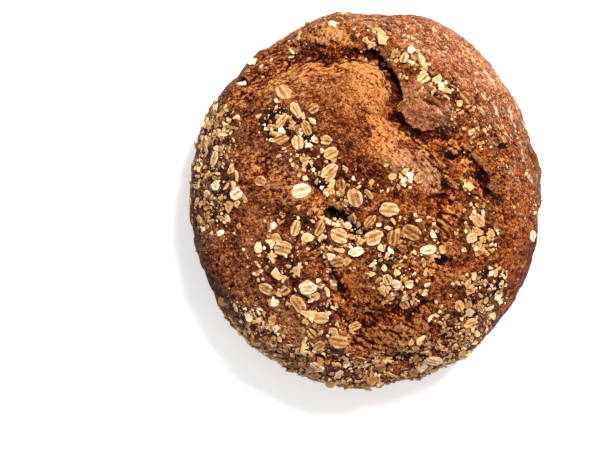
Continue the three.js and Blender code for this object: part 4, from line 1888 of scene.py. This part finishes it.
@dataclass(frozen=True)
class Topping:
    """One grade of broken oats scattered over the crust.

    Args:
        name: the piece's name.
        shards: the shapes it is made of.
        mask: the crust layer that says how thick it lies.
        density: pieces for each square metre where it lies thickest.
        spacing: the least distance between two.
        smallest: the smallest size.
        largest: the largest size.
        tilt: how far a piece leans, in radians.
        seed: picks the places.
    """

    name: str
    shards: Shards
    mask: Mask
    density: float
    spacing: float
    smallest: float
    largest: float
    tilt: float
    seed: int

    def build(self, crust: bpy.types.Object, finish: bpy.types.Material) -> bpy.types.Object:
        """Scatters the topping and joins it to the model.

        Args:
            crust: the crust that it lies on.
            finish: the oats' material.

        Returns:
            The piece.
        """
        tree = ScatterTree("scatter_" + self.name, self.mask.value).make()
        shapes = self.shards.make()
        host = add_object(self.name, crust.data.copy())
        modifier = host.modifiers.new("scatter", "NODES")
        modifier.node_group = tree
        values = {
            "Density": self.density,
            "Spacing": self.spacing,
            "Smallest": self.smallest,
            "Largest": self.largest,
            "Tilt": self.tilt,
            "Seed": self.seed,
            "Shapes": shapes,
            "Finish": finish,
        }
        for item in tree.interface.items_tree:
            if item.item_type == "SOCKET" and item.in_out == "INPUT" and item.name in values:
                modifier[item.identifier] = values[item.name]
        graph = bpy.context.evaluated_depsgraph_get()
        mesh = bpy.data.meshes.new_from_object(
            host.evaluated_get(graph), preserve_all_data_layers=True, depsgraph=graph
        )
        bare = host.data
        host.modifiers.clear()
        host.data = mesh
        mesh.name = self.name
        bpy.data.meshes.remove(bare)
        for shape in list(shapes.objects):
            bpy.data.objects.remove(shape)
        bpy.data.collections.remove(shapes)
        settle(host, Slot.OAT)
        return host


TOPPINGS = (
    Topping(
        "oat_pieces", Shards(ShardKind.CHIP, 14, 9, 0.21, 31), Mask.OATS,
        90000, 3.0 * MM, 3.8 * MM, 8.5 * MM, 0.5, 3,
    ),
    Topping(
        "oat_slivers", Shards(ShardKind.SLIVER, 8, 7, 0.2, 32), Mask.OATS,
        70000, 2.5 * MM, 3.0 * MM, 7.0 * MM, 0.55, 4,
    ),
    Topping(
        "oat_crumbs", Shards(ShardKind.GRAIN, 8, 5, 0.45, 33), Mask.CRUMBS,
        300000, 0.9 * MM, 0.9 * MM, 2.8 * MM, 0.6, 5,
    ),
    Topping(
        "oat_dust", Shards(ShardKind.GRAIN, 5, 4, 0.5, 34), Mask.DUST,
        160000, 0.7 * MM, 0.35 * MM, 1.1 * MM, 0.8, 6,
    ),
)


# ---------------------------------------------------------------------------------------------
# Studio
# ---------------------------------------------------------------------------------------------


@dataclass(frozen=True)
class Studio:
    """A pale floor, soft light and a camera that looks straight down.

    Args:
        aim: the point under the camera.
        height: the camera's height over that point.
        lens: the camera's focal length in millimetres.
        key_from: where the main light hangs.
        key_power: the main light's power in watts.
        key_size: how wide the main light is.
        sky: how bright the surroundings are.
        floor_glow: how brightly the floor is lit from below.
    """

    aim: tuple[float, float, float] = (-0.0356, -0.0135, 0.03)
    height: float = 0.9
    lens: float = 100.0
    key_from: tuple[float, float, float] = (0.34, 0.5, 0.95)
    key_power: float = 20.5
    key_size: float = 0.34
    sky: float = 0.55
    floor_glow: float = 0.4

    def _floor(self) -> None:
        """Lays the floor."""
        mesh = bpy.data.meshes.new("floor")
        half = 3.0
        corners = [(-half, -half, 0), (half, -half, 0), (half, half, 0), (-half, half, 0)]
        mesh.from_pydata(corners, [], [(0, 1, 2, 3)])
        s = Shader("floor")
        s.principled.inputs["Emission Color"].default_value = (1.0, 1.0, 1.0, 1.0)
        s.principled.inputs["Emission Strength"].default_value = self.floor_glow
        tone = s.ramp(s.noise(0.6, 2), ((0.0, "f6f6f5"), (1.0, "fbfbfa")))
        mesh.materials.append(s.finish(tone, 0.9, s.noise(0.02), 0.1 * MM, 0.05))
        add_object("floor", mesh)

    def _light(self, name: str, place: tuple, power: float, size: float) -> None:
        """Hangs a square light that faces the loaf.

        Args:
            name: its name.
            place: where it hangs.
            power: in watts.
            size: how wide it is.
        """
        lamp = bpy.data.lights.new(name, "AREA")
        lamp.energy, lamp.size = power, size
        holder = bpy.data.objects.new(name, lamp)
        way = Vector((0, 0, 0.04)) - Vector(place)
        holder.matrix_world = Matrix.Translation(place) @ way.to_track_quat("-Z", "Y").to_matrix().to_4x4()
        bpy.context.scene.collection.objects.link(holder)

    def _camera(self) -> None:
        """Hangs the camera, with the far rim of the loaf at the top of the frame."""
        camera = bpy.data.cameras.new("camera")
        camera.lens, camera.sensor_width = self.lens, 36.0
        holder = bpy.data.objects.new("camera", camera)
        holder.location = (self.aim[0], self.aim[1], self.aim[2] + self.height)
        bpy.context.scene.collection.objects.link(holder)
        bpy.context.scene.camera = holder

    def build(self) -> None:
        """Sets the studio up."""
        self._floor()
        self._light("key", self.key_from, self.key_power, self.key_size)
        self._camera()
        world = bpy.data.worlds.new("studio")
        world.use_nodes = True
        background = next(n for n in world.node_tree.nodes if n.type == "BACKGROUND")
        background.inputs["Color"].default_value = (1.0, 1.0, 1.0, 1.0)
        background.inputs["Strength"].default_value = self.sky
        bpy.context.scene.world = world
        bpy.context.scene.view_settings.view_transform = "Standard"


def main() -> None:
    """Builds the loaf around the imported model, piece by piece."""
    logging.basicConfig(level=logging.INFO, format="%(name)s: %(message)s")
    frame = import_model()
    Studio().build()
    names = sorted(name for name in frame["nodes"] if name.startswith(FLAKE_PREFIX))
    seats = [FlakeSeat.read(frame["nodes"][name]) for name in names]
    form = CrustForm(LoafBox.read(), CrustMap())
    crust = Crust(form, seats).build(CrustFinish().make())
    oats = OatFinish("rolled_oats").make()
    WholeFlakes(seats).build(oats)
    broken = OatFinish("broken_oats", body="c3925a", pale="e0b277").make()
    for topping in TOPPINGS:
        topping.build(crust, broken)
    for spare in ("lie", Mask.CRUMBS.value, Mask.DUST.value):
        crust.data.attributes.remove(crust.data.attributes[spare])


if __name__ == "__main__":
    main()
